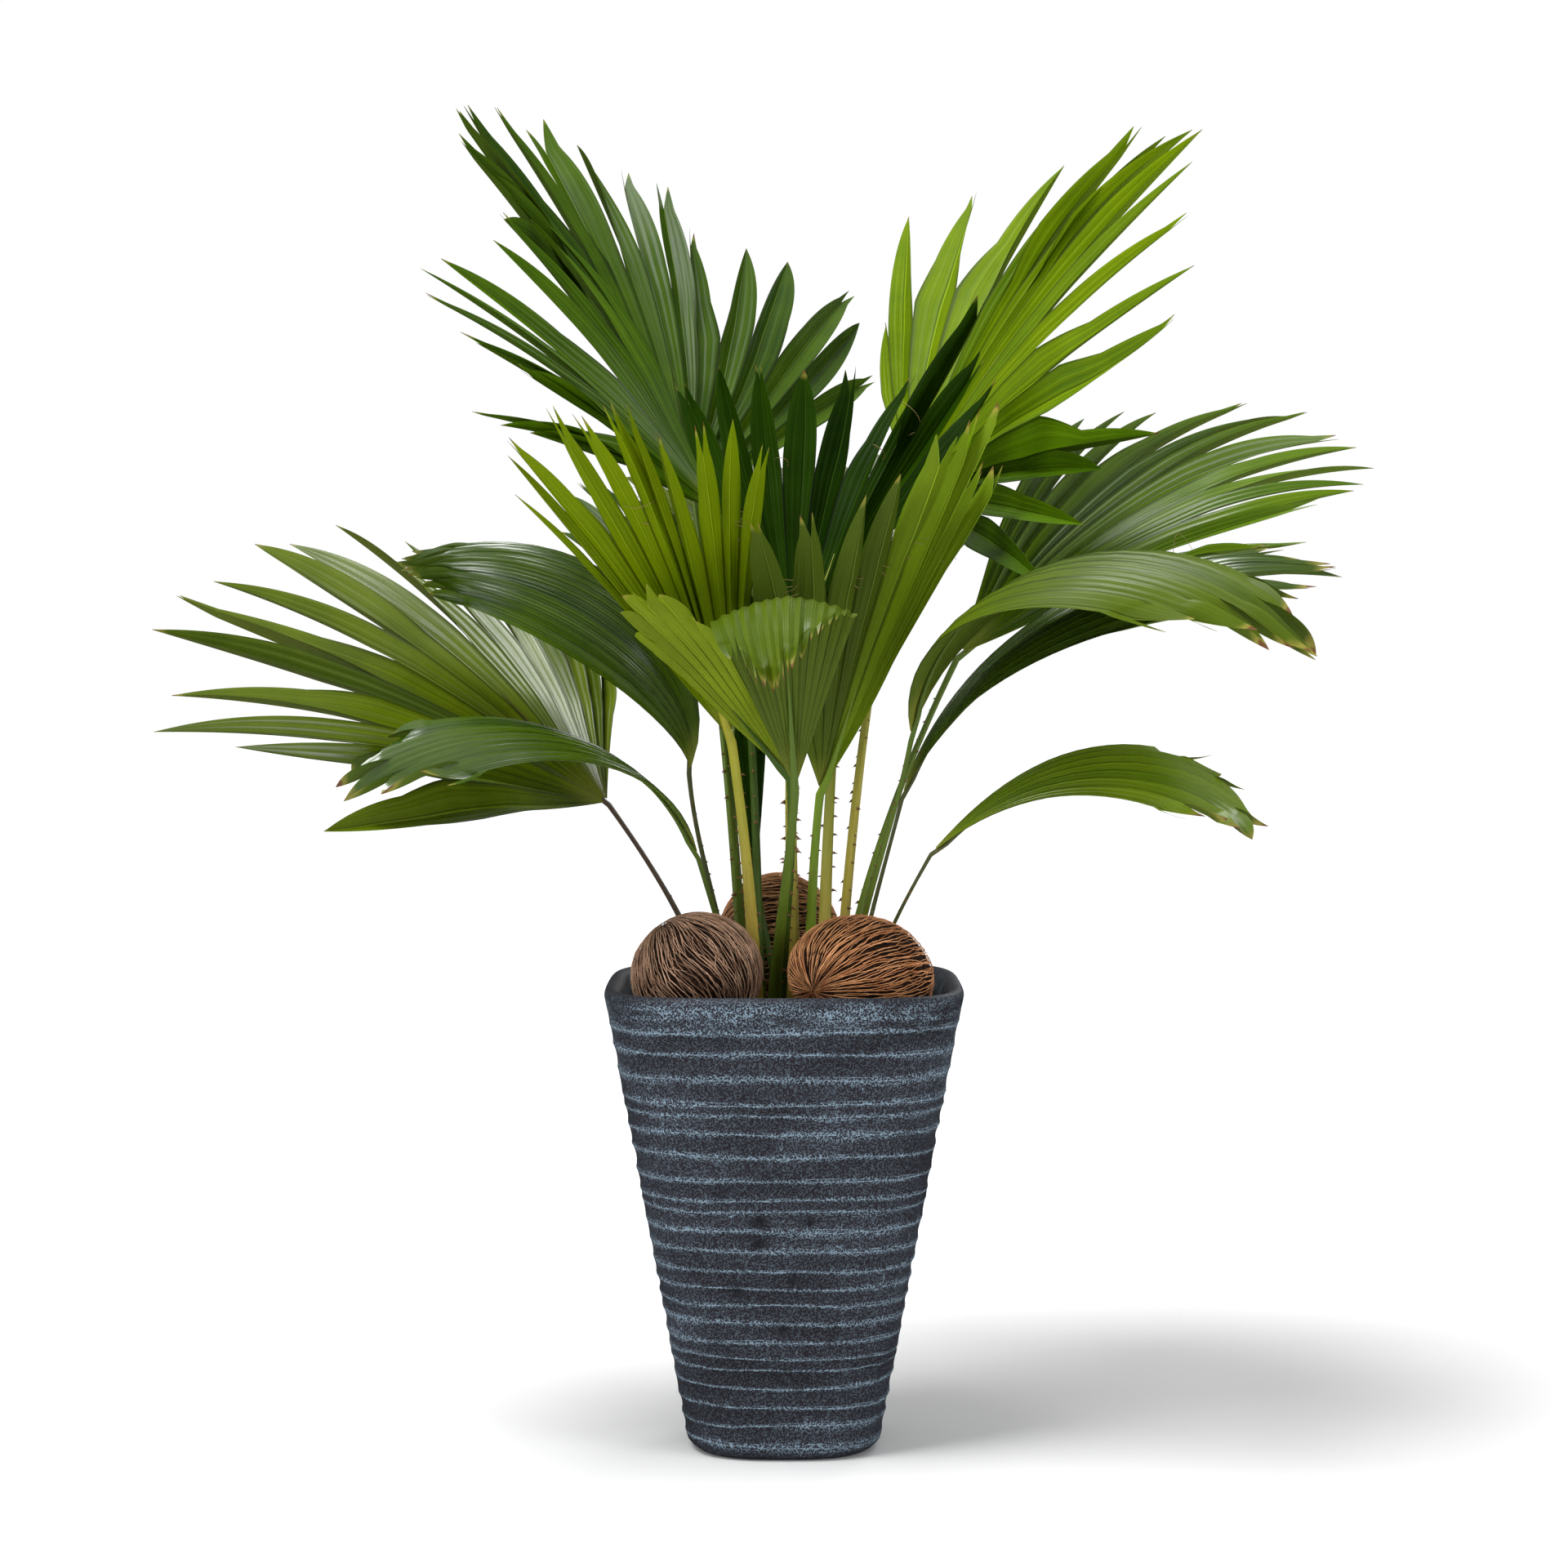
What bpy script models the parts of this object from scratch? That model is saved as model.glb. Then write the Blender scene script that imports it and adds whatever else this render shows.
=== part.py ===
"""A potted footstool palm: a clump of fan leaves on thorny stalks, in a tall ribbed planter.

Metres, +Z up. The origin is the middle of the planter's flat underside, +X is the plant's right
and -Y is its front. Every leaf is a stalk and a blade, both worked out from one row of FRONDS.
"""

import math
from collections import namedtuple

import bmesh
import bpy
from mathutils import Vector

# Finishes: base colour and roughness
POT_FINISH = ((0.075, 0.10, 0.14), 0.62)
SOIL_FINISH = ((0.035, 0.025, 0.02), 0.95)
CROWN_FINISH = ((0.10, 0.065, 0.03), 0.9)
POD_FINISH = ((0.20, 0.095, 0.05), 0.9)
STALK_FINISH = ((0.12, 0.20, 0.03), 0.45)
BLADE_FINISH = ((0.07, 0.17, 0.02), 0.35)

# Planter
POT_HEIGHT = 0.312
POT_RIM_HALF = 0.120  # half the width across the flats of the rim
POT_FOOT_HALF = 0.0645  # half the width just above the rounded foot
POT_FOOT_ROUND = 0.008  # how far the foot's edge is rounded in
POT_WALL = 0.013
POT_FLOOR = 0.016
POT_RIM_SQUARENESS = 4.2  # 2 is a circle, and larger is squarer
POT_FOOT_SQUARENESS = 2.7
POT_BANDS = 11  # carved bands up the wall
POT_BAND_DEPTH = 0.0012
POT_SIDES = 40
LIP_ROUND = 0.006
LIP_PROFILE = ((2.0, 0), (1.0, 0), (0.3, 0.3), (0, 1.0))  # drops and insets of its rings, over LIP_ROUND
LIP_INNER_PROFILE = ((0, 0.2), (0.8, 0))  # the same inside, with how far its rings stand out from the wall
BAND_PROFILE = ((0, 0), (0.45, 1.0))  # a band's rings: share of its height, share of its depth
POT_SHARP_ANGLE = math.radians(35)

# What the planter holds
CLEARANCE = 0.0003  # between solids that touch
SOIL_TOP = 0.280
SOIL_SIDE_GAP = 0.0007
CROWN_SIDES = 24
CROWN_HEIGHT = 0.010  # the short root crown that all the stalks stand on
CROWN_HALF_X = 0.060
CROWN_HALF_Y = 0.030
CROWN_PROFILE = ((0, 1.15), (0.5, 1.03), (1, 1.0))  # shares of its height, and how far it flares there

# A decorative seed pod: where it lies, its half sizes along, across and up, its turn and tilt
# in degrees, and its roll, which brings the groove down from the top towards the front
Pod = namedtuple("Pod", "name place half turn tilt roll")
PODS = (
    Pod("pod_left", (-0.057, -0.057), (0.045, 0.041, 0.042), 35, -8, 40),
    Pod("pod_right", (0.050, -0.059), (0.049, 0.040, 0.0433), -12, 6, 65),
    Pod("pod_back", (-0.003, 0.0695), (0.044, 0.040, 0.052), 5, 0, -30),
)
POD_RINGS = 10
POD_SIDES = 16
POD_GROOVE_DEPTH = 0.0035
POD_GROOVE_WIDTH = math.radians(16)

# Leaves
BLADE_START = 0.0042  # the leaflets part from a small ring round the stalk's end
STALK_TIP_RADIUS = 0.0026
STALK_FOOT_RADIUS = 0.0046
STALK_POINTS = 8
STALK_ARRIVAL = 0.35  # how far a stalk's end turns towards its blade
KNUCKLE_PROFILE = ((-1.6, 0.68), (-0.5, 0.86), (0.15, 0.97), (0.7, 0.65), (0.93, 0.25))
BLADE_THICKNESS_SHARE = 0.01  # of the leaf's length
BLADE_MIN_THICKNESS = 0.002
FOLD_REACH = 0.10  # the sides of a blade have lifted fully this far from the stalk
LOBE_ROWS = (0.4, 0.75, 1.0)  # rows of points along a leaflet's free end
LOBE_POWER = 1.8  # how late a leaflet's free end narrows
BEND_PER_ROW = 45  # degrees of bend for each row more along the joined part
ZENITH = Vector((0.0, 0.0, 1.6))  # upper faces of unrolled leaves look to this point
ARC_STEPS = 24
ARC_BEYOND = 6  # steps kept ready for leaflets that are longer than the leaf's own length

# foot: where the stalk leaves the root crown. knuckle: where stalk and blade meet.
# tip: where a leaflet straight ahead would end. bend: how far the leaf arches from knuckle to tip, and
# late: 1 for an even arch, more if the bend is near the tip. roll: turn about the leaf's length. fold: how
# far the sides are lifted. split: the share of a leaflet's length that is joined to its neighbours.
# leaflets: for each one, how far it is turned off straight ahead, and its share of the leaf's length.
Frond = namedtuple("Frond", "name foot knuckle tip bend late roll fold split leaflets")
FRONDS = (
    Frond("left_low", (-0.045, 0.000), (-0.119, 0.013, 0.431), (-0.407, -0.022, 0.556),
         20, 1.4, -26, 6, 0.52,
         ((-50, 0.85), (-35, 0.9), (-27, 1.04), (-18, 0.97), (-4, 1.02), (2, 0.99), (15, 1.0), (22, 0.98),
          (31, 0.98), (41, 1.0), (49, 0.95), (56, 0.88), (63, 0.84), (69, 0.82), (74, 0.65), (79, 0.53))),
    Frond("left_slim", (-0.030, -0.003), (-0.057, -0.022, 0.397), (-0.271, -0.180, 0.437),
         101, 0.9, -21, 2, 0.88,
         ((-8.2, 0.81), (-2.5, 0.93), (3.2, 0.99), (8.8, 0.99), (14.5, 0.93), (20.2, 0.81))),
    Frond("left_arching", (-0.033, 0.011), (-0.063, -0.010, 0.453), (-0.243, -0.016, 0.583),
         135, 0.7, -40, 4, 0.88,
         ((-27, 0.92), (-21, 0.94), (-16, 0.96), (-10, 0.98), (-5, 1.0), (1, 1.02), (7, 1.04), (12, 1.05),
          (18, 1.06), (23, 1.07), (29, 1.07), (35, 1.07), (40, 1.06), (46, 1.06))),
    Frond("front_left", (-0.018, -0.006), (-0.035, -0.040, 0.476), (-0.116, -0.182, 0.683),
         21, 1.3, 21, 18, 0.60,
         ((-23, 0.82), (-18, 0.89), (-14, 0.87), (-7, 0.87), (-4, 1.0), (-2, 0.99), (2, 1.03), (8, 1.02),
          (15, 0.98), (19, 0.91), (22, 0.85))),
    Frond("front_middle", (-0.007, -0.013), (0.007, -0.087, 0.445), (0.002, -0.218, 0.516),
         185, 1.8, 2, -9, 0.93,
         ((-20, 0.72), (-17, 0.77), (-13, 0.83), (-10, 0.88), (-6, 0.92), (-3, 0.96), (1, 0.99), (4, 1.01),
          (7, 1.01), (11, 0.99), (14, 0.95), (17, 0.91), (21, 0.87))),
    Frond("front_wing", (-0.002, -0.002), (0.004, -0.056, 0.452), (-0.088, -0.190, 0.598),
         21, 1.6, 5, 10, 0.84,
         ((1, 0.66), (6, 0.76), (11, 0.8), (16, 0.79), (21, 0.74), (26, 0.64))),
    Frond("front_right", (0.016, -0.008), (0.024, -0.018, 0.440), (0.093, -0.108, 0.659),
         2, 1.3, -3, 17, 0.62,
         ((-20, 1.02), (-16, 0.94), (-12, 1.18), (-10, 1.09), (-2, 1.04), (4, 0.96), (10, 0.9), (19, 0.83),
          (29, 0.85))),
    Frond("upper_left", (-0.026, 0.016), (-0.061, 0.070, 0.637), (-0.172, 0.190, 0.897),
         17, 1.5, 10, 15, 0.55,
         ((-35, 0.76), (-33, 0.88), (-31, 0.93), (-29, 1.0), (-23, 1.0), (-11, 1.02), (-1, 1.05), (5, 1.0),
          (10, 0.94), (17, 0.89), (22, 0.77), (33, 0.82), (41, 0.91), (50, 0.98), (56, 0.88), (63, 0.77))),
    Frond("mid_left", (-0.014, 0.005), (-0.044, 0.021, 0.627), (-0.227, -0.055, 0.780),
         19, 1.5, -43, 14, 0.50,
         ((-39, 0.84), (-37, 0.93), (-35, 1.01), (-20, 0.77), (-18, 0.89), (-16, 0.94), (-7, 1.03),
          (-3, 1.03), (4, 1.0), (14, 0.94), (20, 0.97), (24, 0.93), (30, 0.93))),
    Frond("upper_right", (0.036, 0.015), (0.085, 0.107, 0.643), (0.253, 0.190, 0.893),
         18, 1.5, 5, 7, 0.55,
         ((-44, 0.54), (-38, 1.0), (-27, 0.93), (-11, 0.95), (-5, 0.95), (-1, 1.03), (4, 1.03), (7, 1.09),
          (12, 1.04), (19, 0.94), (26, 0.88), (42, 0.83), (55, 0.77), (76, 0.8), (80, 0.66), (93, 0.68),
          (104, 0.65))),
    Frond("right_wide", (0.036, 0.003), (0.120, 0.063, 0.530), (0.389, 0.142, 0.677),
         38, 1.3, 21, 12, 0.58,
         ((-35, 0.78), (-29, 0.82), (-25, 0.86), (-16, 0.95), (-12, 1.01), (-8, 1.05), (-4, 1.04),
          (4, 1.03), (10, 1.01), (15, 0.96), (22, 0.91), (26, 0.82), (34, 0.8), (36, 0.7))),
    Frond("right_folded", (0.041, -0.007), (0.083, -0.060, 0.478), (0.320, -0.200, 0.526),
         133, 0.9, 15, 4, 0.86,
         ((-33.3, 0.78), (-26, 0.88), (-18.7, 0.94), (-11.3, 0.99), (-4, 1.0), (3.3, 0.99), (10.7, 0.94),
          (18, 0.88), (25.3, 0.78))),
    Frond("right_under", (0.046, 0.002), (0.079, -0.001, 0.436), (0.367, -0.019, 0.591),
         85, 0.8, 16, 13, 0.75,
         ((-1.6, 0.78), (2.3, 0.88), (6.2, 0.94), (10.1, 0.99), (14, 1.0), (17.9, 0.99), (21.8, 0.94),
          (25.7, 0.88), (29.6, 0.78))),
    Frond("right_low", (0.053, -0.004), (0.097, -0.045, 0.401), (0.306, -0.080, 0.415),
         98, 1.4, 22, 3, 0.90,
         ((-19.1, 0.79), (-13.4, 0.91), (-7.7, 0.98), (-2, 1.0), (3.7, 0.98), (9.4, 0.91), (15.1, 0.79))),
    Frond("middle", (0.006, 0.004), (0.006, -0.019, 0.528), (0.059, 0.091, 0.743),
         9, 1.4, 2, 20, 0.60,
         ((-32, 0.92), (-25, 0.94), (-19, 0.9), (-9, 0.89), (-1, 0.94), (12, 0.89), (19, 0.99), (22, 1.15),
          (27, 0.97), (36, 0.91))),
    Frond("back_slim", (-0.004, 0.021), (-0.019, 0.022, 0.377), (-0.030, 0.036, 0.487),
         8, 1.0, -6, 10, 0.85,
         ((-8, 0.86), (-4, 0.96), (0, 1.0), (4, 0.97), (8, 0.88))),
    Frond("back_left", (-0.016, 0.013), (-0.034, 0.075, 0.485), (-0.114, 0.250, 0.647),
         40, 1.4, 0, 15, 0.62,
         ((-26.6, 0.76), (-21.8, 0.84), (-16.9, 0.9), (-12.1, 0.95), (-7.2, 0.98), (-2.4, 1.0), (2.4, 1.0),
          (7.2, 0.98), (12.1, 0.95), (16.9, 0.9), (21.8, 0.84), (26.6, 0.76))),
    Frond("back_right", (0.026, 0.010), (0.034, 0.075, 0.473), (0.076, 0.280, 0.624),
         40, 1.4, 0, 15, 0.62,
         ((-22.9, 0.76), (-18.8, 0.84), (-14.6, 0.9), (-10.4, 0.95), (-6.2, 0.98), (-2.1, 1.0), (2.1, 1.0),
          (6.2, 0.98), (10.4, 0.95), (14.6, 0.9), (18.8, 0.84), (22.9, 0.76))),
    Frond("back_middle", (0.007, 0.013), (0.003, 0.110, 0.541), (0.003, 0.380, 0.664),
         60, 1.3, 0, 12, 0.62,
         ((-33.2, 0.76), (-27.7, 0.83), (-22.2, 0.89), (-16.6, 0.94), (-11.1, 0.97), (-5.5, 0.99),
          (0, 1.0), (5.5, 0.99), (11.1, 0.97), (16.6, 0.94), (22.2, 0.89), (27.7, 0.83), (33.2, 0.76))),
)


def frame_of(frond):
    """The blade's directions at its knuckle (ahead, side, up), its length, and its arch as unit steps."""
    bend = math.radians(frond.bend)
    headings = [bend * ((i + 0.5) / ARC_STEPS) ** frond.late for i in range(ARC_STEPS + ARC_BEYOND)]
    end_ahead = sum(math.cos(h) for h in headings[:ARC_STEPS]) / ARC_STEPS
    end_down = sum(math.sin(h) for h in headings[:ARC_STEPS]) / ARC_STEPS
    knuckle, tip = Vector(frond.knuckle), Vector(frond.tip)
    chord = tip - knuckle
    length = chord.length / math.hypot(end_ahead, end_down)
    chord.normalize()
    up = ZENITH - tip
    up = (up - up.dot(chord) * chord).normalized()
    side = chord.cross(up)
    roll = math.radians(frond.roll)
    up = math.cos(roll) * up + math.sin(roll) * side
    lean = math.atan2(end_down, end_ahead)
    ahead = math.cos(lean) * chord + math.sin(lean) * up
    up = math.cos(lean) * up - math.sin(lean) * chord
    return ahead, ahead.cross(up), up, length, headings


def blade_point(frond, frame, turned, reach, share):
    """The point of a blade that is turned off straight ahead, at a share of its reach from the knuckle."""
    ahead, side, up, length, headings = frame
    distance = BLADE_START + (reach * length - BLADE_START) * share
    fold = math.radians(frond.fold) * min(1, distance / FOLD_REACH)
    turned = math.radians(turned)
    outward = math.sin(turned) * math.cos(fold) * side + abs(math.sin(turned)) * math.sin(fold) * up
    heading = math.cos(turned) * ahead + outward
    down = -up - (-up).dot(heading) * heading
    down.normalize()
    steps = distance / length * ARC_STEPS
    point = Vector(frond.knuckle)
    for i, bent in enumerate(headings):
        step = min(1, max(0, steps - i)) * length / ARC_STEPS
        point += step * (math.cos(bent) * heading + math.sin(bent) * down)
    return point


def new_object(name, mesh, collection, finish):
    """A named object in the plant's collection, with a material of its own."""
    obj = bpy.data.objects.new(name, mesh)
    collection.objects.link(obj)
    material = bpy.data.materials.new(name)
    material.use_nodes = True
    shader = material.node_tree.nodes["Principled BSDF"]
    colour, roughness = finish
    shader.inputs["Base Color"].default_value = (*colour, 1.0)
    shader.inputs["Roughness"].default_value = roughness
    mesh.materials.append(material)
    return obj


def rounded_square(half, squareness, height, sides):
    """A level ring of points between a circle and a square."""
    ring = []
    for i in range(sides):
        turn = 2 * math.pi * i / sides
        flat = abs(math.cos(turn)) ** squareness + abs(math.sin(turn)) ** squareness
        radius = half * flat ** (-1 / squareness)
        ring.append(Vector((radius * math.cos(turn), radius * math.sin(turn), height)))
    return ring


def loft(name, rings):
    """A closed mesh through level rings of equally many points, capped at both ends."""
    bm = bmesh.new()
    rows = [[bm.verts.new(point) for point in ring] for ring in rings]
    for lower, upper in zip(rows, rows[1:]):
        for i in range(len(lower)):
            j = (i + 1) % len(lower)
            bm.faces.new((lower[i], lower[j], upper[j], upper[i]))
    bm.faces.new(rows[0])
    bm.faces.new(rows[-1])
    bmesh.ops.recalc_face_normals(bm, faces=bm.faces)
    mesh = bpy.data.meshes.new(name)
    bm.to_mesh(mesh)
    bm.free()
    return mesh


def wall_at(height):
    """The planter's half width and squareness at a height, on its outer side between the bands."""
    share = height / POT_HEIGHT
    half = POT_FOOT_HALF + (POT_RIM_HALF - POT_FOOT_HALF) * share
    squareness = POT_FOOT_SQUARENESS + (POT_RIM_SQUARENESS - POT_FOOT_SQUARENESS) * share
    return half, squareness


def inner_ring(height, gap=0.0):
    """A ring of the planter's inner wall, or one that a filling keeps clear of it."""
    half, squareness = wall_at(height)
    return rounded_square(half - POT_WALL - gap, squareness, height, POT_SIDES)


def make_pot(collection):
    """The planter: one wall from the flat underside up over the lip and down to the floor inside."""
    half, squareness = wall_at(0)
    rings = [rounded_square(half - POT_FOOT_ROUND, squareness, 0, POT_SIDES)]
    lip_start = POT_HEIGHT - LIP_PROFILE[0][0] * LIP_ROUND
    band = (lip_start - POT_FOOT_ROUND) / POT_BANDS
    for i in range(POT_BANDS):
        for share, bulge in BAND_PROFILE:
            height = POT_FOOT_ROUND + band * (i + share)
            half, squareness = wall_at(height)
            rings.append(rounded_square(half + bulge * POT_BAND_DEPTH, squareness, height, POT_SIDES))
    half, squareness = wall_at(POT_HEIGHT)
    for drop, inset in LIP_PROFILE:
        height = POT_HEIGHT - drop * LIP_ROUND
        rings.append(rounded_square(half - inset * LIP_ROUND, squareness, height, POT_SIDES))
    for drop, outset in LIP_INNER_PROFILE:
        rings.append(inner_ring(POT_HEIGHT - drop * LIP_ROUND, -outset * LIP_ROUND))
    for height in (SOIL_TOP, POT_HEIGHT / 2, POT_FLOOR):
        rings.append(inner_ring(height))
    pot = new_object("pot", loft("pot", rings), collection, POT_FINISH)
    pot.data.shade_smooth()
    pot.data.set_sharp_from_angle(angle=POT_SHARP_ANGLE)


def make_soil(collection):
    """The potting soil, which fills the planter to below its rim."""
    rings = [inner_ring(h, SOIL_SIDE_GAP) for h in (POT_FLOOR + CLEARANCE, POT_HEIGHT / 2, SOIL_TOP)]
    new_object("soil", loft("soil", rings), collection, SOIL_FINISH)


def make_crown(collection):
    """The short root crown that stands on the soil, hidden by the pods, with a flat top for the stalks."""
    rings = []
    for share, flare in CROWN_PROFILE:
        height = SOIL_TOP + CLEARANCE + CROWN_HEIGHT * share
        ring = rounded_square(CROWN_HALF_X * flare, 2, height, CROWN_SIDES)
        for point in ring:
            point.y *= CROWN_HALF_Y / CROWN_HALF_X
        rings.append(ring)
    new_object("root_crown", loft("root_crown", rings), collection, CROWN_FINISH)


def make_pod(pod, collection):
    """A dry seed pod: an egg with a groove along one side, lying on the soil by its lowest point."""
    bm = bmesh.new()
    bmesh.ops.create_uvsphere(bm, u_segments=POD_SIDES, v_segments=POD_RINGS, radius=1.0)
    for vert in bm.verts:
        x, y, z = vert.co
        around = math.atan2(y, x)
        off_groove = abs(around) / POD_GROOVE_WIDTH
        hollow = 1 - POD_GROOVE_DEPTH / pod.half[1] * math.exp(-off_groove**2) * math.hypot(x, y)
        vert.co = (z * pod.half[0], -y * hollow * pod.half[1], x * hollow * pod.half[2])
    mesh = bpy.data.meshes.new(pod.name)
    bm.to_mesh(mesh)
    bm.free()
    mesh.shade_smooth()
    obj = new_object(pod.name, mesh, collection, POD_FINISH)
    obj.rotation_euler = (math.radians(pod.roll), math.radians(pod.tilt), math.radians(pod.turn))
    turned = obj.rotation_euler.to_matrix()
    lowest = min((turned @ vert.co).z for vert in mesh.vertices)
    obj.location = (*pod.place, SOIL_TOP + CLEARANCE - lowest)


def stalk_points(frond):
    """The stalk's line from the root crown to its knuckle, as (point, radius) pairs."""
    foot = Vector((*frond.foot, SOIL_TOP + CROWN_HEIGHT + 2 * CLEARANCE))
    knuckle = Vector(frond.knuckle)
    straight = (knuckle - foot).normalized()
    leaving = (straight + Vector((0, 0, 1))).normalized()
    arriving = (straight + STALK_ARRIVAL * frame_of(frond)[0]).normalized()
    handle = (knuckle - foot).length / 3
    corners = (foot, foot + handle * leaving, knuckle - handle * arriving, knuckle)
    line = [(foot, STALK_FOOT_RADIUS), (foot + Vector((0, 0, STALK_FOOT_RADIUS)), STALK_FOOT_RADIUS)]
    for i in range(1, STALK_POINTS - 1):
        t = i / (STALK_POINTS - 1)
        weights = ((1 - t) ** 3, 3 * t * (1 - t) ** 2, 3 * t * t * (1 - t), t**3)
        point = sum((w * corner for w, corner in zip(weights, corners)), Vector())
        line.append((point, STALK_FOOT_RADIUS + (STALK_TIP_RADIUS - STALK_FOOT_RADIUS) * t))
    head = BLADE_START - CLEARANCE
    for along, share in KNUCKLE_PROFILE:
        line.append((knuckle + along * head * arriving, share * head))
    return line


def make_stalk(frond, collection):
    curve = bpy.data.curves.new(f"{frond.name}_stalk", "CURVE")
    curve.dimensions = "3D"
    curve.bevel_depth = 1.0
    curve.bevel_resolution = 1
    curve.use_fill_caps = True
    line = stalk_points(frond)
    spline = curve.splines.new("POLY")
    spline.points.add(len(line) - 1)
    for place, (point, radius) in zip(spline.points, line):
        place.co = (*point, 1)
        place.radius = radius
    new_object(curve.name, curve, collection, STALK_FINISH)


def leaflet_rows(frond):
    """Shares of the leaflet's length at its rows of points, and how wide it is there for its angle."""
    joined = 2 + int(frond.bend / BEND_PER_ROW)
    rows = [(frond.split * i / joined, 1.0) for i in range(joined + 1)]
    for free in LOBE_ROWS:
        share = frond.split + (1 - frond.split) * free
        rows.append((share, frond.split / share * (1 - free**LOBE_POWER)))
    return rows


def leaflet_edges(frond):
    """The lines where leaflets meet, halfway between their middles, and the two outer edges of the blade."""
    first, last = frond.leaflets[0], frond.leaflets[-1]
    pairs = list(zip(frond.leaflets, frond.leaflets[1:]))
    between = [((a[0] + b[0]) / 2, (a[1] + b[1]) / 2) for a, b in pairs]
    return [(2 * first[0] - between[0][0], first[1]), *between, (2 * last[0] - between[-1][0], last[1])]


def make_blade(frond, collection):
    """The fan: one strip for each leaflet, joined to the next as far as the split, then given thickness."""
    frame = frame_of(frond)
    rows = leaflet_rows(frond)
    edges = leaflet_edges(frond)
    bm = bmesh.new()
    for (turned, reach), before, after in zip(frond.leaflets, edges, edges[1:]):
        strip = bmesh.ops.create_grid(bm, x_segments=len(rows) - 1, y_segments=1, size=1)
        for vert in strip["verts"]:
            share, width = rows[round((vert.co.x + 1) / 2 * (len(rows) - 1))]
            edge_turned, edge_reach = before if vert.co.y < 0 else after
            vert_turned = turned + width * (edge_turned - turned)
            vert_reach = reach + width * (edge_reach - reach)
            vert.co = blade_point(frond, frame, vert_turned, vert_reach, share)
    bmesh.ops.remove_doubles(bm, verts=bm.verts, dist=1e-6)
    mesh = bpy.data.meshes.new(f"{frond.name}_blade")
    bm.to_mesh(mesh)
    bm.free()
    blade = new_object(mesh.name, mesh, collection, BLADE_FINISH)
    shell = blade.modifiers.new("thickness", "SOLIDIFY")
    shell.thickness = max(BLADE_MIN_THICKNESS, BLADE_THICKNESS_SHARE * frame[3])
    shell.offset = 0.0


def main():
    for obj in list(bpy.data.objects):
        bpy.data.objects.remove(obj)
    plant = bpy.data.collections.new("potted_palm")
    bpy.context.scene.collection.children.link(plant)
    make_pot(plant)
    make_soil(plant)
    make_crown(plant)
    for pod in PODS:
        make_pod(pod, plant)
    for frond in FRONDS:
        make_stalk(frond, plant)
        make_blade(frond, plant)


main()
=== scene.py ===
"""A potted footstool palm with three dry seed pods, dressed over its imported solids. Metres, +Z up."""

import math
import random
from collections import namedtuple

import bmesh
import bpy
import numpy as np
from mathutils import Euler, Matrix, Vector, noise


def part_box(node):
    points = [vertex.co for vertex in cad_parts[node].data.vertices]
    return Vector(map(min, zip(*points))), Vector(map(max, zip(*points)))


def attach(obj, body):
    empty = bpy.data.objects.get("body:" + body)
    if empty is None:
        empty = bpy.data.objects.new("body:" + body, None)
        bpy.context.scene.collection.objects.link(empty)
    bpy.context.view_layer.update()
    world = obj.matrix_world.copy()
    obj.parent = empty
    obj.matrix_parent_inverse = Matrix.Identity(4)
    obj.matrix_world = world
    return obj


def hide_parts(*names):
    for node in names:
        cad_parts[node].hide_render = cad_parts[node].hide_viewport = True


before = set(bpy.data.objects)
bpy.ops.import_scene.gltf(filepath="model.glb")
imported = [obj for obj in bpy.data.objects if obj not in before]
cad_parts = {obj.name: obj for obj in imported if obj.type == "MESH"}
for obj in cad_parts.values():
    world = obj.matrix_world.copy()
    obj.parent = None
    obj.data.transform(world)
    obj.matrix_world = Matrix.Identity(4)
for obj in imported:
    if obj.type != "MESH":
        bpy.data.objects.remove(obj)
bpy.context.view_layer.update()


# ---- The studio
# A wide pale floor in a white room, with a big soft light overhead, a softer one at each side of the camera
# and a long lens at the height of the leaves. None of it is part of the plant.
FLOOR_HALF = 14.0
ROOM_TOP, ROOM_LOW, ROOM_HIGH = 0.85, (0.06, 0.06, 0.062), (0.56, 0.56, 0.565)
SUN_ENERGY, SUN_WIDTH, SUN_HEADING = 2.9, 30, (0.55, 0.35, -1.6)
LENS, SENSOR, LENS_PLACE, LENS_DOWN = 82.44, 36.0, (0.0, -2.4, 0.565), 2.9


class Pattern:
    """What a shader node gives at each point of a surface. It adds and multiplies as a number does."""

    def __init__(self, socket):
        self.socket, self.tree = socket, socket.id_data

    def __add__(self, other):
        return maths("ADD", self, other)

    def __sub__(self, other):
        return maths("SUBTRACT", self, other)

    def __rsub__(self, other):
        return maths("SUBTRACT", other, self)

    def __mul__(self, other):
        return maths("MULTIPLY", self, other)

    def __abs__(self):
        return maths("ABSOLUTE", self)


def feed(socket, value):
    """Give a shader's input a pattern, a colour or a number."""
    if isinstance(value, Pattern):
        value.tree.links.new(value.socket, socket)
    elif isinstance(value, tuple) and socket.type == "RGBA":
        socket.default_value = (*value, 1.0)
    else:
        socket.default_value = value


def made(tree, kind, inputs, output=0, **settings):
    """The pattern that a new shader node gives."""
    node = tree.nodes.new("ShaderNode" + kind)
    for key, value in settings.items():
        setattr(node, key, value)
    for key, value in inputs.items():
        feed(node.inputs[key], value)
    return Pattern(node.outputs[output])


def maths(operation, *values, clamp=False):
    tree = next(value.tree for value in values if isinstance(value, Pattern))
    return made(tree, "Math", dict(enumerate(values)), operation=operation, use_clamp=clamp)


def blended(share, first, second):
    """A share of the second colour mixed into the first."""
    return made(share.tree, "Mix", {0: share, 6: first, 7: second}, 2, data_type="RGBA")


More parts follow.
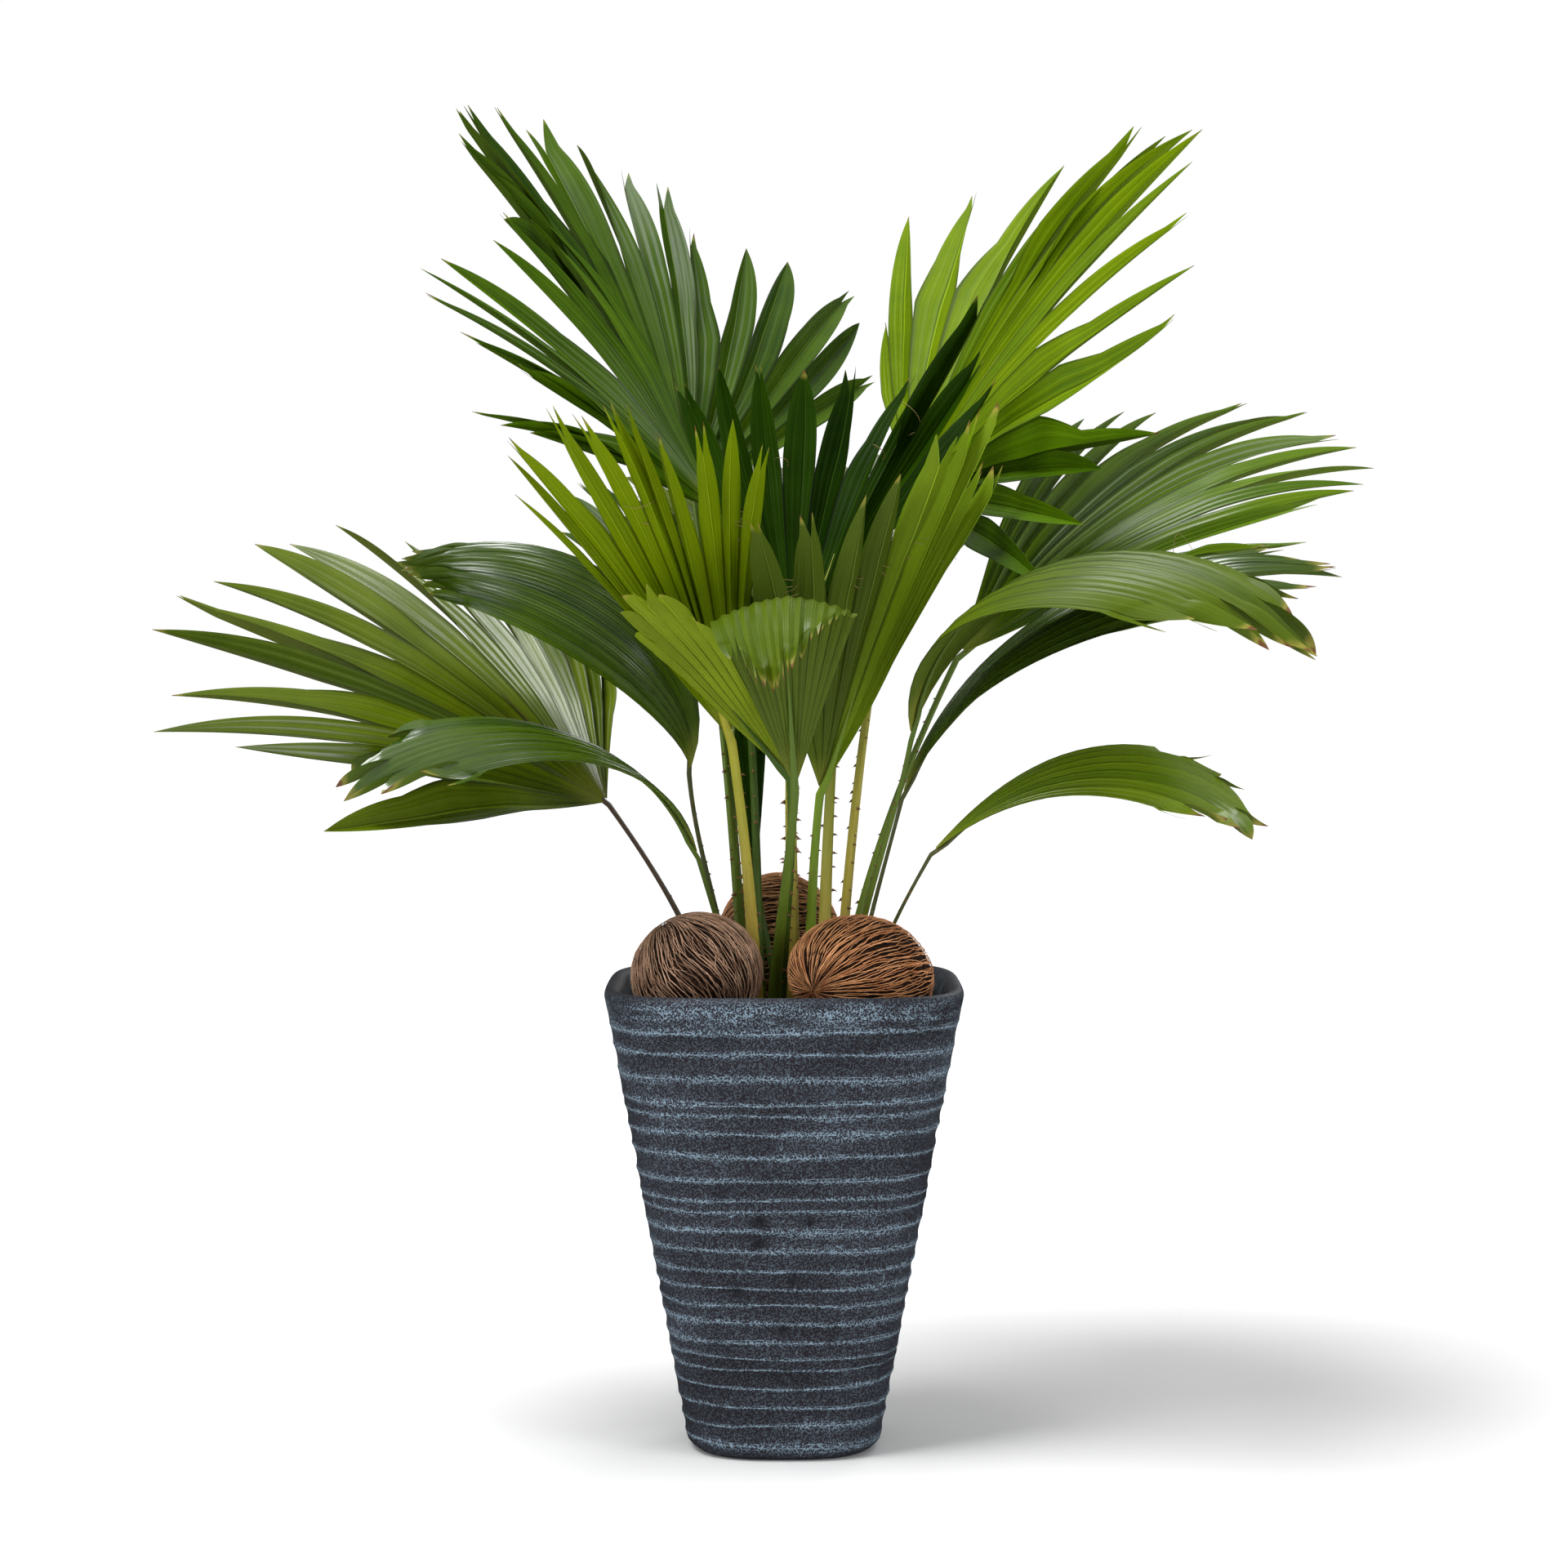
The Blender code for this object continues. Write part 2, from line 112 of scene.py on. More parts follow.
def new_finish(name, roughness, specular):
    """A material, its shader, and the place of each point on the plant."""
    material = bpy.data.materials.new(name)
    material.use_nodes = True
    shader = material.node_tree.nodes["Principled BSDF"]
    shader.inputs["Roughness"].default_value = roughness
    shader.inputs["Specular IOR Level"].default_value = specular
    return material, shader, made(material.node_tree, "TexCoord", {}, "Object")


scene = bpy.context.scene
scene.view_settings.view_transform = "Standard"
room = bpy.data.worlds.new("white_room")
room.use_nodes = True
scene.world = room
sky = room.node_tree
height = made(sky, "SeparateXYZ", {0: made(sky, "TexCoord", {}, "Generated")}, "Z")
height = made(sky, "MapRange", {"Value": height, "From Max": ROOM_TOP})
feed(sky.nodes["Background"].inputs["Color"], blended(height, ROOM_LOW, ROOM_HIGH))
walls = {
    0: made(sky, "LightPath", {}, "Is Camera Ray"),
    1: Pattern(sky.nodes["Background"].outputs[0]),
    2: made(sky, "Background", {"Color": (1.0, 1.0, 1.0)}),
}
feed(sky.nodes["World Output"].inputs[0], made(sky, "MixShader", walls))

floor_mesh = bpy.data.meshes.new("floor")
floor_corners = [(x * FLOOR_HALF, y * FLOOR_HALF, 0) for x, y in ((-1, -1), (1, -1), (1, 1), (-1, 1))]
floor_mesh.from_pydata(floor_corners, [], [(0, 1, 2, 3)])
paper, shader, _ = new_finish("pale_floor", 0.9, 0.1)
feed(shader.inputs["Base Color"], (0.86, 0.86, 0.86))
floor_mesh.materials.append(paper)
floor = bpy.data.objects.new("floor", floor_mesh)
scene.collection.objects.link(floor)
floor.visible_glossy = False

key_light = bpy.data.lights.new("key_light", "SUN")
key_light.energy = SUN_ENERGY
key_light.angle = math.radians(SUN_WIDTH)
key = bpy.data.objects.new("key_light", key_light)
key.rotation_euler = Vector(SUN_HEADING).to_track_quat("-Z", "Y").to_euler()
scene.collection.objects.link(key)

for title, place, aim, size, watts in (
    ("left_light", (-2.2, -1.5, 1.3), (0.0, 0.0, 0.5), 1.1, 22),
    ("right_light", (2.2, -1.6, 1.2), (0.0, 0.0, 0.5), 1.1, 20),
    ("back_light", (1.2, 2.3, 1.9), (0.0, 0.0, 0.6), 1.2, 16),
):
    lamp = bpy.data.lights.new(title, "AREA")
    lamp.shape = "DISK"
    lamp.size = size
    lamp.energy = watts
    holder = bpy.data.objects.new(title, lamp)
    holder.location = place
    holder.rotation_euler = (Vector(aim) - Vector(place)).to_track_quat("-Z", "Y").to_euler()
    scene.collection.objects.link(holder)

camera_data = bpy.data.cameras.new("camera")
camera_data.sensor_width = SENSOR
camera_data.lens = LENS
camera = bpy.data.objects.new("camera", camera_data)
camera.location = LENS_PLACE
camera.rotation_euler = (math.radians(90 - LENS_DOWN), 0.0, 0.0)
scene.collection.objects.link(camera)
scene.camera = camera


# ---- The planter
# One slip-cast stoneware shell, tapering from a rounded-square rim to a rounder foot. Shallow bands are
# carved round it by hand, it is stained a dark blue-grey, and pale blue is rubbed over the ridges and rim.

# RIDGES: how high each ridge stands. PITS: the chips, each its place across a side, its height and its width.
# Both are in millimetres. BAND_ROWS: shares of a band's height. FOOT_ROWS: each a height, an inset and a band.
POT_HEIGHT = 0.312
POT_RIM_HALF, POT_FOOT_HALF = 0.120, 0.0645
POT_RIM_SQUARENESS, POT_FOOT_SQUARENESS = 4.2, 2.7
POT_WALL, POT_FLOOR, POT_LIP = 0.013, 0.016, 0.0062
POT_AROUND = 400
RIDGE_WAVES = ((0.0002, 0.0013, 1), (0.0002, 0.0011, 2), (0.0001, 0.0006, 5))
RIDGES = (10.0, 23.7, 37.2, 51.8, 63.6, 70.5, 82.6, 96.0, 107.1, 118.2, 130.4, 143.6, 158.0, 170.6,
          177.7, 190.9, 207.8, 221.9, 235.5, 243.1, 259.3, 274.9, 289.4)
RIDGE_GAP, TOP_BAND, TOP_BAND_SHARE = 0.0030, 0.0105, 0.45
BAND_ROWS = (0.0, 0.05, 0.14, 0.30, 0.50, 0.70, 0.86, 0.95)
CARVED_DEEP, TOP_CARVED_SHARE = 0.0012, 0.35
FOOT_ROWS = ((0.0, 0.0080, 0.42), (0.0014, 0.0048, 0.45), (0.0038, 0.0022, 0.6), (0.0062, 0.0006, 0.8))
LIP_ROWS = 17
INSIDE_HEIGHTS = (0.302, 0.296, 0.288, 0.279, 0.2, 0.1, POT_FLOOR)
PITS = ((-42, 182, 5), (-16, 164, 6), (16, 163, 4.2), (-17, 149, 5.2), (6, 124, 3.4),
        (-30, 117, 4), (-1, 91, 4), (-44, 80, 4.8))


def grid(rows, columns, start=0, wrap=False, flip=False):
    """Quads over a grid of points numbered row by row, and the (row, column) of each of their corners."""
    r, c = np.meshgrid(np.arange(rows - 1), np.arange(columns if wrap else columns - 1), indexing="ij")
    r, c = r.ravel(), c.ravel()
    corners = np.stack([np.stack(pair, 1) for pair in ((r, c), (r, c + 1), (r + 1, c + 1), (r + 1, c))], 1)
    if flip:
        corners = corners[:, ::-1]
    return start + corners[..., 0] * columns + corners[..., 1] % columns, corners


def make_piece(name, points, faces, maps, materials, slots=None, caps=()):
    """A mesh that rides on the plant, from arrays of points, quads and corner coordinates, and end caps."""
    mesh = bpy.data.meshes.new(name)
    mesh.from_pydata(points.tolist(), [], faces.tolist() + [list(cap) for cap in caps])
    corners_in_caps = sum(len(cap) for cap in caps)
    for title, places in maps.items():
        flat = [np.asarray(places, np.float32).reshape(-1, 2), np.zeros((corners_in_caps, 2), np.float32)]
        mesh.uv_layers.new(name=title).data.foreach_set("uv", np.concatenate(flat).ravel())
    for material in materials:
        mesh.materials.append(material)
    if slots is not None:
        slots = np.concatenate([slots, np.zeros(len(caps))]).astype(np.int32)
        mesh.polygons.foreach_set("material_index", slots)
    mesh.shade_smooth()
    mesh.update()
    piece = bpy.data.objects.new(name, mesh)
    scene.collection.objects.link(piece)
    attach(piece, "root")
    return piece


def unit(vectors):
    return vectors / np.linalg.norm(vectors, axis=-1, keepdims=True)


def rough(point, scale, seed=0.0):
    """Smooth noise between about -1 and 1."""
    x, y, z = point
    return noise.noise(Vector((x * scale + seed, y * scale - seed, z * scale + 2 * seed)))


def colour(*chart):
    """A base colour from the red, green and blue of a paint chart."""
    shares = (part / 255 for part in chart)
    return tuple(c / 12.92 if c <= 0.04045 else ((c + 0.055) / 1.055) ** 2.4 for c in shares)


def fade(value, start, end, low=0.0, high=1.0):
    """A smooth step from low to high while the value goes from start to end."""
    inputs = {"Value": value, "From Min": start, "From Max": end, "To Min": low, "To Max": high}
    return made(value.tree, "MapRange", inputs, interpolation_type="SMOOTHSTEP")


def speckle(place, scale, detail=2.0, roughness=0.5, stretch=None):
    """Cloudy noise, stretched where its scale differs along each axis."""
    if stretch:
        place = made(place.tree, "Mapping", {"Vector": place, "Scale": stretch})
    inputs = {"Vector": place, "Scale": scale, "Detail": detail, "Roughness": roughness}
    return made(place.tree, "TexNoise", inputs, "Fac")


def paint(shader, share, first, second):
    """Cover a surface with two colours of the paint chart, mixed by a pattern."""
    feed(shader.inputs["Base Color"], blended(share, colour(*first), colour(*second)))


def read_map(tree, title):
    """A piece's own coordinates: both together, and then one by one."""
    both = made(tree, "UVMap", {}, uv_map=title)
    return both, made(tree, "SeparateXYZ", {0: both}, "X"), made(tree, "SeparateXYZ", {0: both}, "Y")


def roughen(shader, height, strength, distance):
    bump = {"Height": height, "Strength": strength, "Distance": distance}
    feed(shader.inputs["Normal"], made(height.tree, "Bump", bump))


def pot_section(height):
    """The planter's half width and squareness at a height."""
    share = height / POT_HEIGHT
    half = POT_FOOT_HALF + (POT_RIM_HALF - POT_FOOT_HALF) * share
    return half, POT_FOOT_SQUARENESS + (POT_RIM_SQUARENESS - POT_FOOT_SQUARENESS) * share


def pot_ring(turn, height, inset):
    """Points round the planter at their heights, set in from its wall."""
    half, squareness = pot_section(height)
    radius = np.abs(np.cos(turn)) ** squareness + np.abs(np.sin(turn)) ** squareness
    radius = half * radius ** (-1 / squareness) - inset
    return np.stack([radius * np.cos(turn), radius * np.sin(turn), height + 0 * turn], axis=-1)


turn = 2 * np.pi * np.arange(POT_AROUND) / POT_AROUND
carver = random.Random(8)
ridge_lines = []
for height in np.array(RIDGES) / 1000:
    waves = [(carver.uniform(least, most), count) for least, most, count in RIDGE_WAVES]
    line = height + sum(size * np.sin(count * turn + carver.uniform(0, 2 * math.pi)) for size, count in waves)
    line = line + [0.0007 * rough((math.cos(a), math.sin(a), height * 9), 5.0) for a in turn]
    ridge_lines.append(line if not ridge_lines else np.maximum(line, ridge_lines[-1] + RIDGE_GAP))
rows, row_band = [], []
for height, inset, band in FOOT_ROWS:
    rows.append(pot_ring(turn, height + 0 * turn, inset))
    row_band.append(band)
for i, (lower, upper) in enumerate(zip(ridge_lines, ridge_lines[1:] + [ridge_lines[-1] + TOP_BAND])):
    for share in BAND_ROWS:
        height = lower + (upper - lower) * share
        uneven = 0.8 + 0.5 * np.sin(3 * turn + 1.7 * i) * np.sin(turn + 0.9 * i)
        last = i == len(RIDGES) - 1
        scallop = np.minimum(CARVED_DEEP, 0.10 * (upper - lower)) * math.sin(math.pi * share) ** 0.75 * uneven
        rows.append(pot_ring(turn, height, scallop * (TOP_CARVED_SHARE if last else 1.0)))
        row_band.append(i + 1 + share * (TOP_BAND_SHARE if last else 1.0))
for swing in np.linspace(0, math.pi, LIP_ROWS):
    height = POT_HEIGHT - POT_LIP + POT_LIP * math.sin(swing)
    rows.append(pot_ring(turn, height + 0 * turn, POT_LIP * (1 - math.cos(swing))))
for height in INSIDE_HEIGHTS:
    rows.append(pot_ring(turn, height + 0 * turn, POT_WALL + 0.0002))
row_band += [len(RIDGES) + TOP_BAND_SHARE] * (LIP_ROWS + len(INSIDE_HEIGHTS))
shell = np.concatenate(rows)
outward = unit(shell * (1, 1, 0))
worn = np.zeros(len(shell))
for across, height, width in np.array(PITS) / 1000:
    for quarter, lift in ((0, 0.0), (1, 0.031), (2, -0.024), (3, 0.017)):
        half, _ = pot_section(height + lift)
        middle = ((across, -half), (half, across), (-across, half), (-half, -across))[quarter]
        away = np.linalg.norm(shell - (*middle, height + lift), axis=1)
        worn = np.maximum(worn, np.exp(-((away / width) ** 2)))
outer_rows = len(FOOT_ROWS) + len(RIDGES) * len(BAND_ROWS) + LIP_ROWS // 2 + 1
outside = (shell[:, 2] > 0.009) & (np.arange(len(shell)) < outer_rows * POT_AROUND)
swell = np.array([0.00035 * rough(p, 22) + 0.00016 * rough(p, 120, 3.0) for p in shell])
shell += outward * ((swell - 0.0011 * worn) * outside)[:, None]
faces, corners = grid(len(rows), POT_AROUND, wrap=True)
row_band = np.array(row_band)
bands_map = np.stack([corners[..., 1] / POT_AROUND, row_band[corners[..., 0]]], axis=-1)
bake_map = np.stack([corners[..., 1] / POT_AROUND, 0.01 + 0.98 * corners[..., 0] / (len(rows) - 1)], axis=-1)
underside = range(POT_AROUND - 1, -1, -1)
inner_floor = range((len(rows) - 1) * POT_AROUND, len(rows) * POT_AROUND)

stained_clay, shader, place = new_finish("stained_clay", 0.66, 0.20)
_, _, bands = read_map(place.tree, "Bands")
in_band = maths("FRACT", bands)
from_ridge = 0.5 - abs(in_band - 0.5)
drag = speckle(place, 1.0, 3.0, 0.6, stretch=(38, 38, 170))
patches = speckle(place, 1.0, 2.0, 0.55, stretch=(9, 9, 22))
cells = made(place.tree, "TexVoronoi", {"Vector": place, "Scale": 820.0, "Randomness": 1.0}, "Distance")
fine = speckle(place, 1300.0, 2.0, 0.7)
scratches = speckle(place, 1.0, 2.0, 0.6, stretch=(420, 420, 26))
pit = made(place.tree, "Attribute", {}, "Fac", attribute_name="pit")
line = fade(from_ridge + (drag - 0.5) * 0.07, 0.034, 0.006)
twin = fade(abs(in_band - (patches * 0.30 - 0.02)), 0.022, 0.006) * fade(drag, 0.50, 0.62)
halo = maths("DIVIDE", from_ridge, (fade(patches, 0.34, 0.72) + 0.15) * 0.20 + 0.03)
halo = fade(halo + (drag - 0.5) * 1.6, 1.6, 0.2)
height_of = made(place.tree, "SeparateXYZ", {0: place}, "Z")
rim = fade(height_of, 0.2905, 0.3005) * fade(height_of, 0.3112, 0.306)
rim = rim * fade(drag * 0.5 + patches * 0.5, 0.42, 0.60)
grain = fade(cells * 0.7 + fine * 1.2, 0.94, 1.10)
scuffs = fade(scratches, 0.60, 0.74) * fade(patches, 0.40, 0.62)
soft = halo * 0.34 + rim * 0.44 + (scuffs * 0.40 + patches * 0.24)
soft = soft * (grain * 1.8 + 0.04)
sharp = line * (fade(drag, 0.38, 0.62) * 0.66 + 0.10) + twin * 0.42
rubbed = maths("ADD", soft, sharp, clamp=True)
rubbed = maths("MULTIPLY", rubbed, 1.0 - pit * 0.9, clamp=True)
ground = blended(fade(patches, 0.3, 0.7), colour(30, 26, 33), colour(41, 36, 45))
ground = blended(pit, ground, colour(22, 23, 29))
feed(shader.inputs["Base Color"], blended(rubbed, ground, colour(134, 156, 172)))
feed(shader.inputs["Roughness"], fade(rubbed, 0.0, 1.0, 0.52, 0.72))
roughen(shader, cells * 0.6 + fine * 0.5, 0.55, 0.0006)

maps = {"Bands": bands_map, "OFBake": bake_map}
planter = make_piece("planter", shell, faces, maps, [stained_clay], caps=(underside, inner_floor))
planter.data.attributes.new("pit", "FLOAT", "POINT").data.foreach_set("value", worn * outside)
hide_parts("pot")


# ---- The soil
# Dark peaty compost that fills the planter to below its rim. Crumbs of peat and chips of bark lie loose on
# its flat top, between the pods and round the stalks.
SOIL_TOP = 0.280
CRUMBS = 1500

peat, shader, place = new_finish("peat", 0.95, 0.15)
lumps = speckle(place, 260.0, 4.0, 0.65)
paint(shader, fade(lumps, 0.35, 0.7), (26, 20, 16), (62, 46, 36))
roughen(shader, lumps, 0.8, 0.002)
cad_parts["soil"].data.materials.clear()
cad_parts["soil"].data.materials.append(peat)

lump = bmesh.new()
bmesh.ops.create_icosphere(lump, subdivisions=1, radius=1.0)
lump_points = np.array([v.co for v in lump.verts])
lump_faces = np.array([[v.index for v in f.verts] for f in lump.faces])
lump.free()
scatter = np.random.default_rng(3)
points, faces = [], []
for i in range(CRUMBS):
    ring = math.sqrt(scatter.uniform(0, 1))
    angle = scatter.uniform(0, 2 * math.pi)
    spot = pot_ring(np.array(angle), np.array(SOIL_TOP), POT_WALL + 0.004) * (ring, ring, 1)
    size = scatter.uniform(0.0008, 0.0021) * (1.7 if i % 9 == 0 else 1.0)
    shape = lump_points * (1 + 0.35 * scatter.standard_normal((len(lump_points), 1)))
    shape = shape * scatter.uniform(0.6, 1.4, 3)
    faces.append(lump_faces + len(lump_points) * len(points))
    points.append(shape * size + spot + (0, 0, 0.35 * size))
crumbs = make_piece("soil_crumbs", np.concatenate(points), np.concatenate(faces), {}, [peat])


# ---- The root crown
# The low woody mound that every stalk grows from. It is wrapped in coarse brown fibre, left where old
# leaf bases have dried and split, and it stands on the soil behind the two front pods.
CROWN_X, CROWN_Y, CROWN_HEIGHT = 0.060, 0.030, 0.010
CROWN_FIBRES, FIBRE_STEPS = 520, 7
MOUND_SIDES = 64
MOUND_ROWS = ((0, 1.15), (0.35, 1.09), (0.7, 1.03), (1, 0.97), (1.12, 0.7), (1.15, 0.3))


def tubes(lines, radii, sides):
    """Round strands along lines of points: points, quads, and each strand's own strip of coordinates."""
    count, steps = lines.shape[:2]
    along = unit(np.gradient(lines, axis=1))
    first = unit(np.cross(along, np.where(np.abs(along[..., 2:3]) < 0.9, (0.0, 0.0, 1.0), (1.0, 0.0, 0.0))))
    second = np.cross(along, first)
    angle = 2 * np.pi * np.arange(sides) / sides
    around = first[:, :, None] * np.cos(angle)[:, None] + second[:, :, None] * np.sin(angle)[:, None]
    points = lines[:, :, None] + around * radii[:, :, None, None]
    quads, corners = grid(steps, sides, wrap=True)
    faces = (quads[None] + (np.arange(count) * steps * sides)[:, None, None]).reshape(-1, 4)
    strip = np.empty((count, len(quads), 4, 2))
    strip[..., 0] = (np.arange(count)[:, None, None] + 0.04 + 0.92 * corners[..., 1] / sides) / count
    strip[..., 1] = corners[..., 0] / (steps - 1)
    return points.reshape(-1, 3), faces, strip.reshape(-1, 4, 2)


fibre_brown, shader, place = new_finish("fibre_brown", 0.85, 0.2)
paint(shader, fade(speckle(place, 180.0, 3.0, 0.6), 0.35, 0.68), (58, 38, 24), (128, 92, 56))
angle = 2 * np.pi * np.arange(MOUND_SIDES) / MOUND_SIDES
wrinkle = 1 + 0.035 * np.sin(23 * angle) + 0.02 * np.sin(41 * angle + 1)
mound_rows = []
for share, flare in MOUND_ROWS:
    height = SOIL_TOP + 0.0003 + CROWN_HEIGHT * share
    around = CROWN_X * flare * wrinkle * np.cos(angle), CROWN_Y * flare * wrinkle * np.sin(angle)
    mound_rows.append(np.stack([*around, height + 0 * angle], axis=-1))
points = np.concatenate(mound_rows)
faces, corners = grid(len(MOUND_ROWS), MOUND_SIDES, wrap=True)
mound_map = np.stack([0.5 * corners[..., 1] / MOUND_SIDES, corners[..., 0] / len(MOUND_ROWS)], axis=-1)
angle = scatter.uniform(0, 2 * np.pi, CROWN_FIBRES)
ring = scatter.uniform(0.35, 1.08, CROWN_FIBRES)
step = np.linspace(0, 1, FIBRE_STEPS)
tall = scatter.uniform(0.006, 0.020, CROWN_FIBRES)
lean = scatter.normal(0, 0.006, (CROWN_FIBRES, 2))
curl = scatter.normal(0, 0.004, (CROWN_FIBRES, 2))
fibres = np.empty((CROWN_FIBRES, FIBRE_STEPS, 3))
fibres[..., 0] = (CROWN_X * ring * np.cos(angle))[:, None] + lean[:, :1] * step + curl[:, :1] * step**2
fibres[..., 1] = (CROWN_Y * ring * np.sin(angle))[:, None] + lean[:, 1:] * step + curl[:, 1:] * step**2
fibres[..., 2] = SOIL_TOP + 0.003 + tall[:, None] * step
thick = scatter.uniform(0.00025, 0.0007, (CROWN_FIBRES, 1)) * (1 - 0.8 * step**2)
fibre_points, fibre_faces, strips = tubes(fibres, thick, 5)
strips = strips * (0.48, 1) + (0.51, 0)
caps = range(MOUND_SIDES - 1, -1, -1), range(len(points) - MOUND_SIDES, len(points))
faces = np.concatenate([faces, fibre_faces + len(points)])
points = np.concatenate([points, fibre_points])
maps = {"OFBake": np.concatenate([mound_map, strips])}
crown = make_piece("root_crown_fibre", points, faces, maps, [fibre_brown], caps=caps)
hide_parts("root_crown")


# ---- The seed pods
# Three dry, woody seed balls laid on the soil for looks. Each is a kernel under hundreds of coarse fibres that
# run in waves from one end to the other, where they gather at a small pole. The kernel is painted dark brown:
# painted shade for the gaps deep between the fibres.
# pole: where on a pod its fibres gather. strands and thick: how many fibres, and how thick they are at least.
# dark and light: their colours. seam: where round the poles the fibres part along a groove.
Pod = namedtuple("Pod", "name half turn tilt roll pole strands thick dark light seam")
PODS = (
    Pod("pod_left", (0.045, 0.041, 0.042), 35, -8, 40, (-0.55, 0.12, 0.83),
        196, 0.00019, (114, 82, 62), (218, 178, 148), 1.1),
    Pod("pod_right", (0.049, 0.040, 0.0433), -12, 6, 65, (-0.72, -0.66, -0.16),
        158, 0.00021, (158, 94, 52), (254, 188, 132), None),
    Pod("pod_back", (0.044, 0.040, 0.052), 5, 0, -30, (-0.96, 0.10, -0.22),
        156, 0.00022, (152, 96, 58), (244, 186, 136), None),
)
POD_STEPS, STRAND_SIDES = 64, 5
WHOLE_SHARE = 0.42
POD_HAIRS, HAIR_STEPS, HAIR_SIDES, HAIR_RADIUS = 170, 9, 4, 0.00022
CORE_SIDES, CORE_ROWS = 96, 60

# The kernel's dark brown is painted shade, standing for the shade deep in the gaps between the fibres.
shaded_kernel, shader, place = new_finish("pod_kernel_painted_shade", 0.9, 0.15)
pith = speckle(place, 300.0, 3.0, 0.6)
paint(shader, fade(pith, 0.4, 0.7), (26, 16, 10), (58, 38, 26))
roughen(shader, pith, 0.8, 0.0015)

for seed, pod in enumerate(PODS):
    low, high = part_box(pod.name)
    middle = np.array((low + high) / 2)
    spin = np.array(Euler([math.radians(a) for a in (pod.roll, pod.tilt, pod.turn)]).to_matrix())
    half = np.array(pod.half)
    pole = unit(spin.T @ np.array(pod.pole) / half)
    east = unit(np.cross(pole, (0.0, 0.0, 1.0) if abs(pole[2]) < 0.9 else (1.0, 0.0, 0.0)))
    north = np.cross(pole, east)
    scatter = np.random.default_rng(20 + seed)

    def on_pod(around, down, height):
        """A point of the pod at an angle round its poles and one down from the first, raised in metres."""
        outward = np.cos(around)[..., None] * east + np.sin(around)[..., None] * north
        ray = np.cos(down)[..., None] * pole + np.sin(down)[..., None] * outward
        body = ray * (half - 0.0016) + ray * height[..., None]
        return body @ spin.T + middle

    def on_strands(size, scale, offset, rate):
        """Noise along every strand, the same for strands that lie close together."""
        rings = [[(math.cos(a), math.sin(a), rate * s) for s in step] for a in start]
        return size * np.array([[rough(spot, scale, offset) for spot in ring] for ring in rings])

    step = np.linspace(0, 1, POD_STEPS)
    each = (pod.strands, 1)
    begin = np.where(scatter.uniform(0, 1, each) < WHOLE_SHARE, 0.006, scatter.uniform(0.03, 0.17, each))
    end = np.where(scatter.uniform(0, 1, each) < WHOLE_SHARE, 0.994, scatter.uniform(0.83, 0.97, each))
    down = math.pi * (begin + (end - begin) * step)
    start = (np.arange(pod.strands) + scatter.uniform(-0.28, 0.28, pod.strands)) * 2 * np.pi / pod.strands
    if pod.seam is not None:
        apart = (start - pod.seam + np.pi) % (2 * np.pi) - np.pi
        start = pod.seam + apart + np.sign(apart) * 0.075 * np.exp(-((apart / 0.25) ** 2))
    wander = on_strands(0.15, 1.7, 5.0 * seed, 2.1) + on_strands(0.055, 9.0, 7.0 + seed, 0.55)
    wander = wander + on_strands(0.020, 26.0, 3.0 + seed, 1.1)
    if pod.seam is not None:
        wander *= (1 - 0.85 * np.exp(-((apart / 0.3) ** 2)))[:, None]
    around = start[:, None] + wander * np.sin(down) ** 0.3
    lift = 0.0007 + on_strands(0.0005, 24.0, 11.0 + seed, 0.5)
    width = (pod.thick + 0.00018 * scatter.uniform(0, 1, each) ** 1.5) * (0.28 + 0.72 * np.sin(down) ** 0.6)
    width = width * np.minimum(1, 0.3 + 9 * np.minimum(step, 1 - step))
    knots = np.array([[rough((a * 9, s * 10, 0), 1.0, 2.0) for s in step] for a in start])
    width = width * (1 + 0.35 * knots)
    strands, quads, strips = tubes(on_pod(around, down, lift), width, STRAND_SIDES)
    step = np.linspace(0, 1, HAIR_STEPS)
    each = (POD_HAIRS, 1)
    hair_around = scatter.uniform(0, 2 * np.pi, each) + scatter.normal(0, 0.10, each) * step
    hair_down = np.arccos(scatter.uniform(-0.9, 0.9, each)) + scatter.uniform(0.1, 0.42, each) * step
    hair_lift = 0.0011 + scatter.uniform(0, 0.0011, each) * step**2
    hair_width = HAIR_RADIUS * (1 - 0.7 * step) + 0 * hair_down
    hairs = on_pod(hair_around, hair_down, hair_lift)
    hair_points, hair_quads, hair_strips = tubes(hairs, hair_width, HAIR_SIDES)
    core_turn = 2 * np.pi * np.arange(CORE_SIDES) / CORE_SIDES
    core_down = math.pi * np.linspace(0.004, 0.996, CORE_ROWS)
    core_around, core_down = np.meshgrid(core_turn, core_down)
    sunk = -0.0006 + 0 * core_down
    if pod.seam is not None:
        apart = (core_around - pod.seam + np.pi) % (2 * np.pi) - np.pi
        sunk = sunk - 0.0032 * np.exp(-((apart / 0.07) ** 2)) * np.sin(core_down)
    core_points = on_pod(core_around, core_down, sunk).reshape(-1, 3)
    core_quads, corners = grid(CORE_ROWS, CORE_SIDES, wrap=True)
    core_map = np.stack([corners[..., 1] / CORE_SIDES, 0.2 * corners[..., 0] / (CORE_ROWS - 1)], axis=-1)

    pod_fibre, shader, place = new_finish(pod.name + "_fibre", 0.82, 0.22)
    strip_at = read_map(place.tree, "Strand")[1]
    own = made(place.tree, "TexWhiteNoise", {"W": maths("FLOOR", strip_at)}, "Value", noise_dimensions="1D")
    mottle = fade(speckle(place, 70.0, 3.0, 0.6), 0.3, 0.7)
    flecks = speckle(place, 900.0, 2.0, 0.6)
    tone = maths("ADD", own * 0.5 + mottle * 0.5, (flecks - 0.5) * 0.9, clamp=True)
    paint(shader, tone, pod.dark, pod.light)
    roughen(shader, flecks, 0.5, 0.0004)

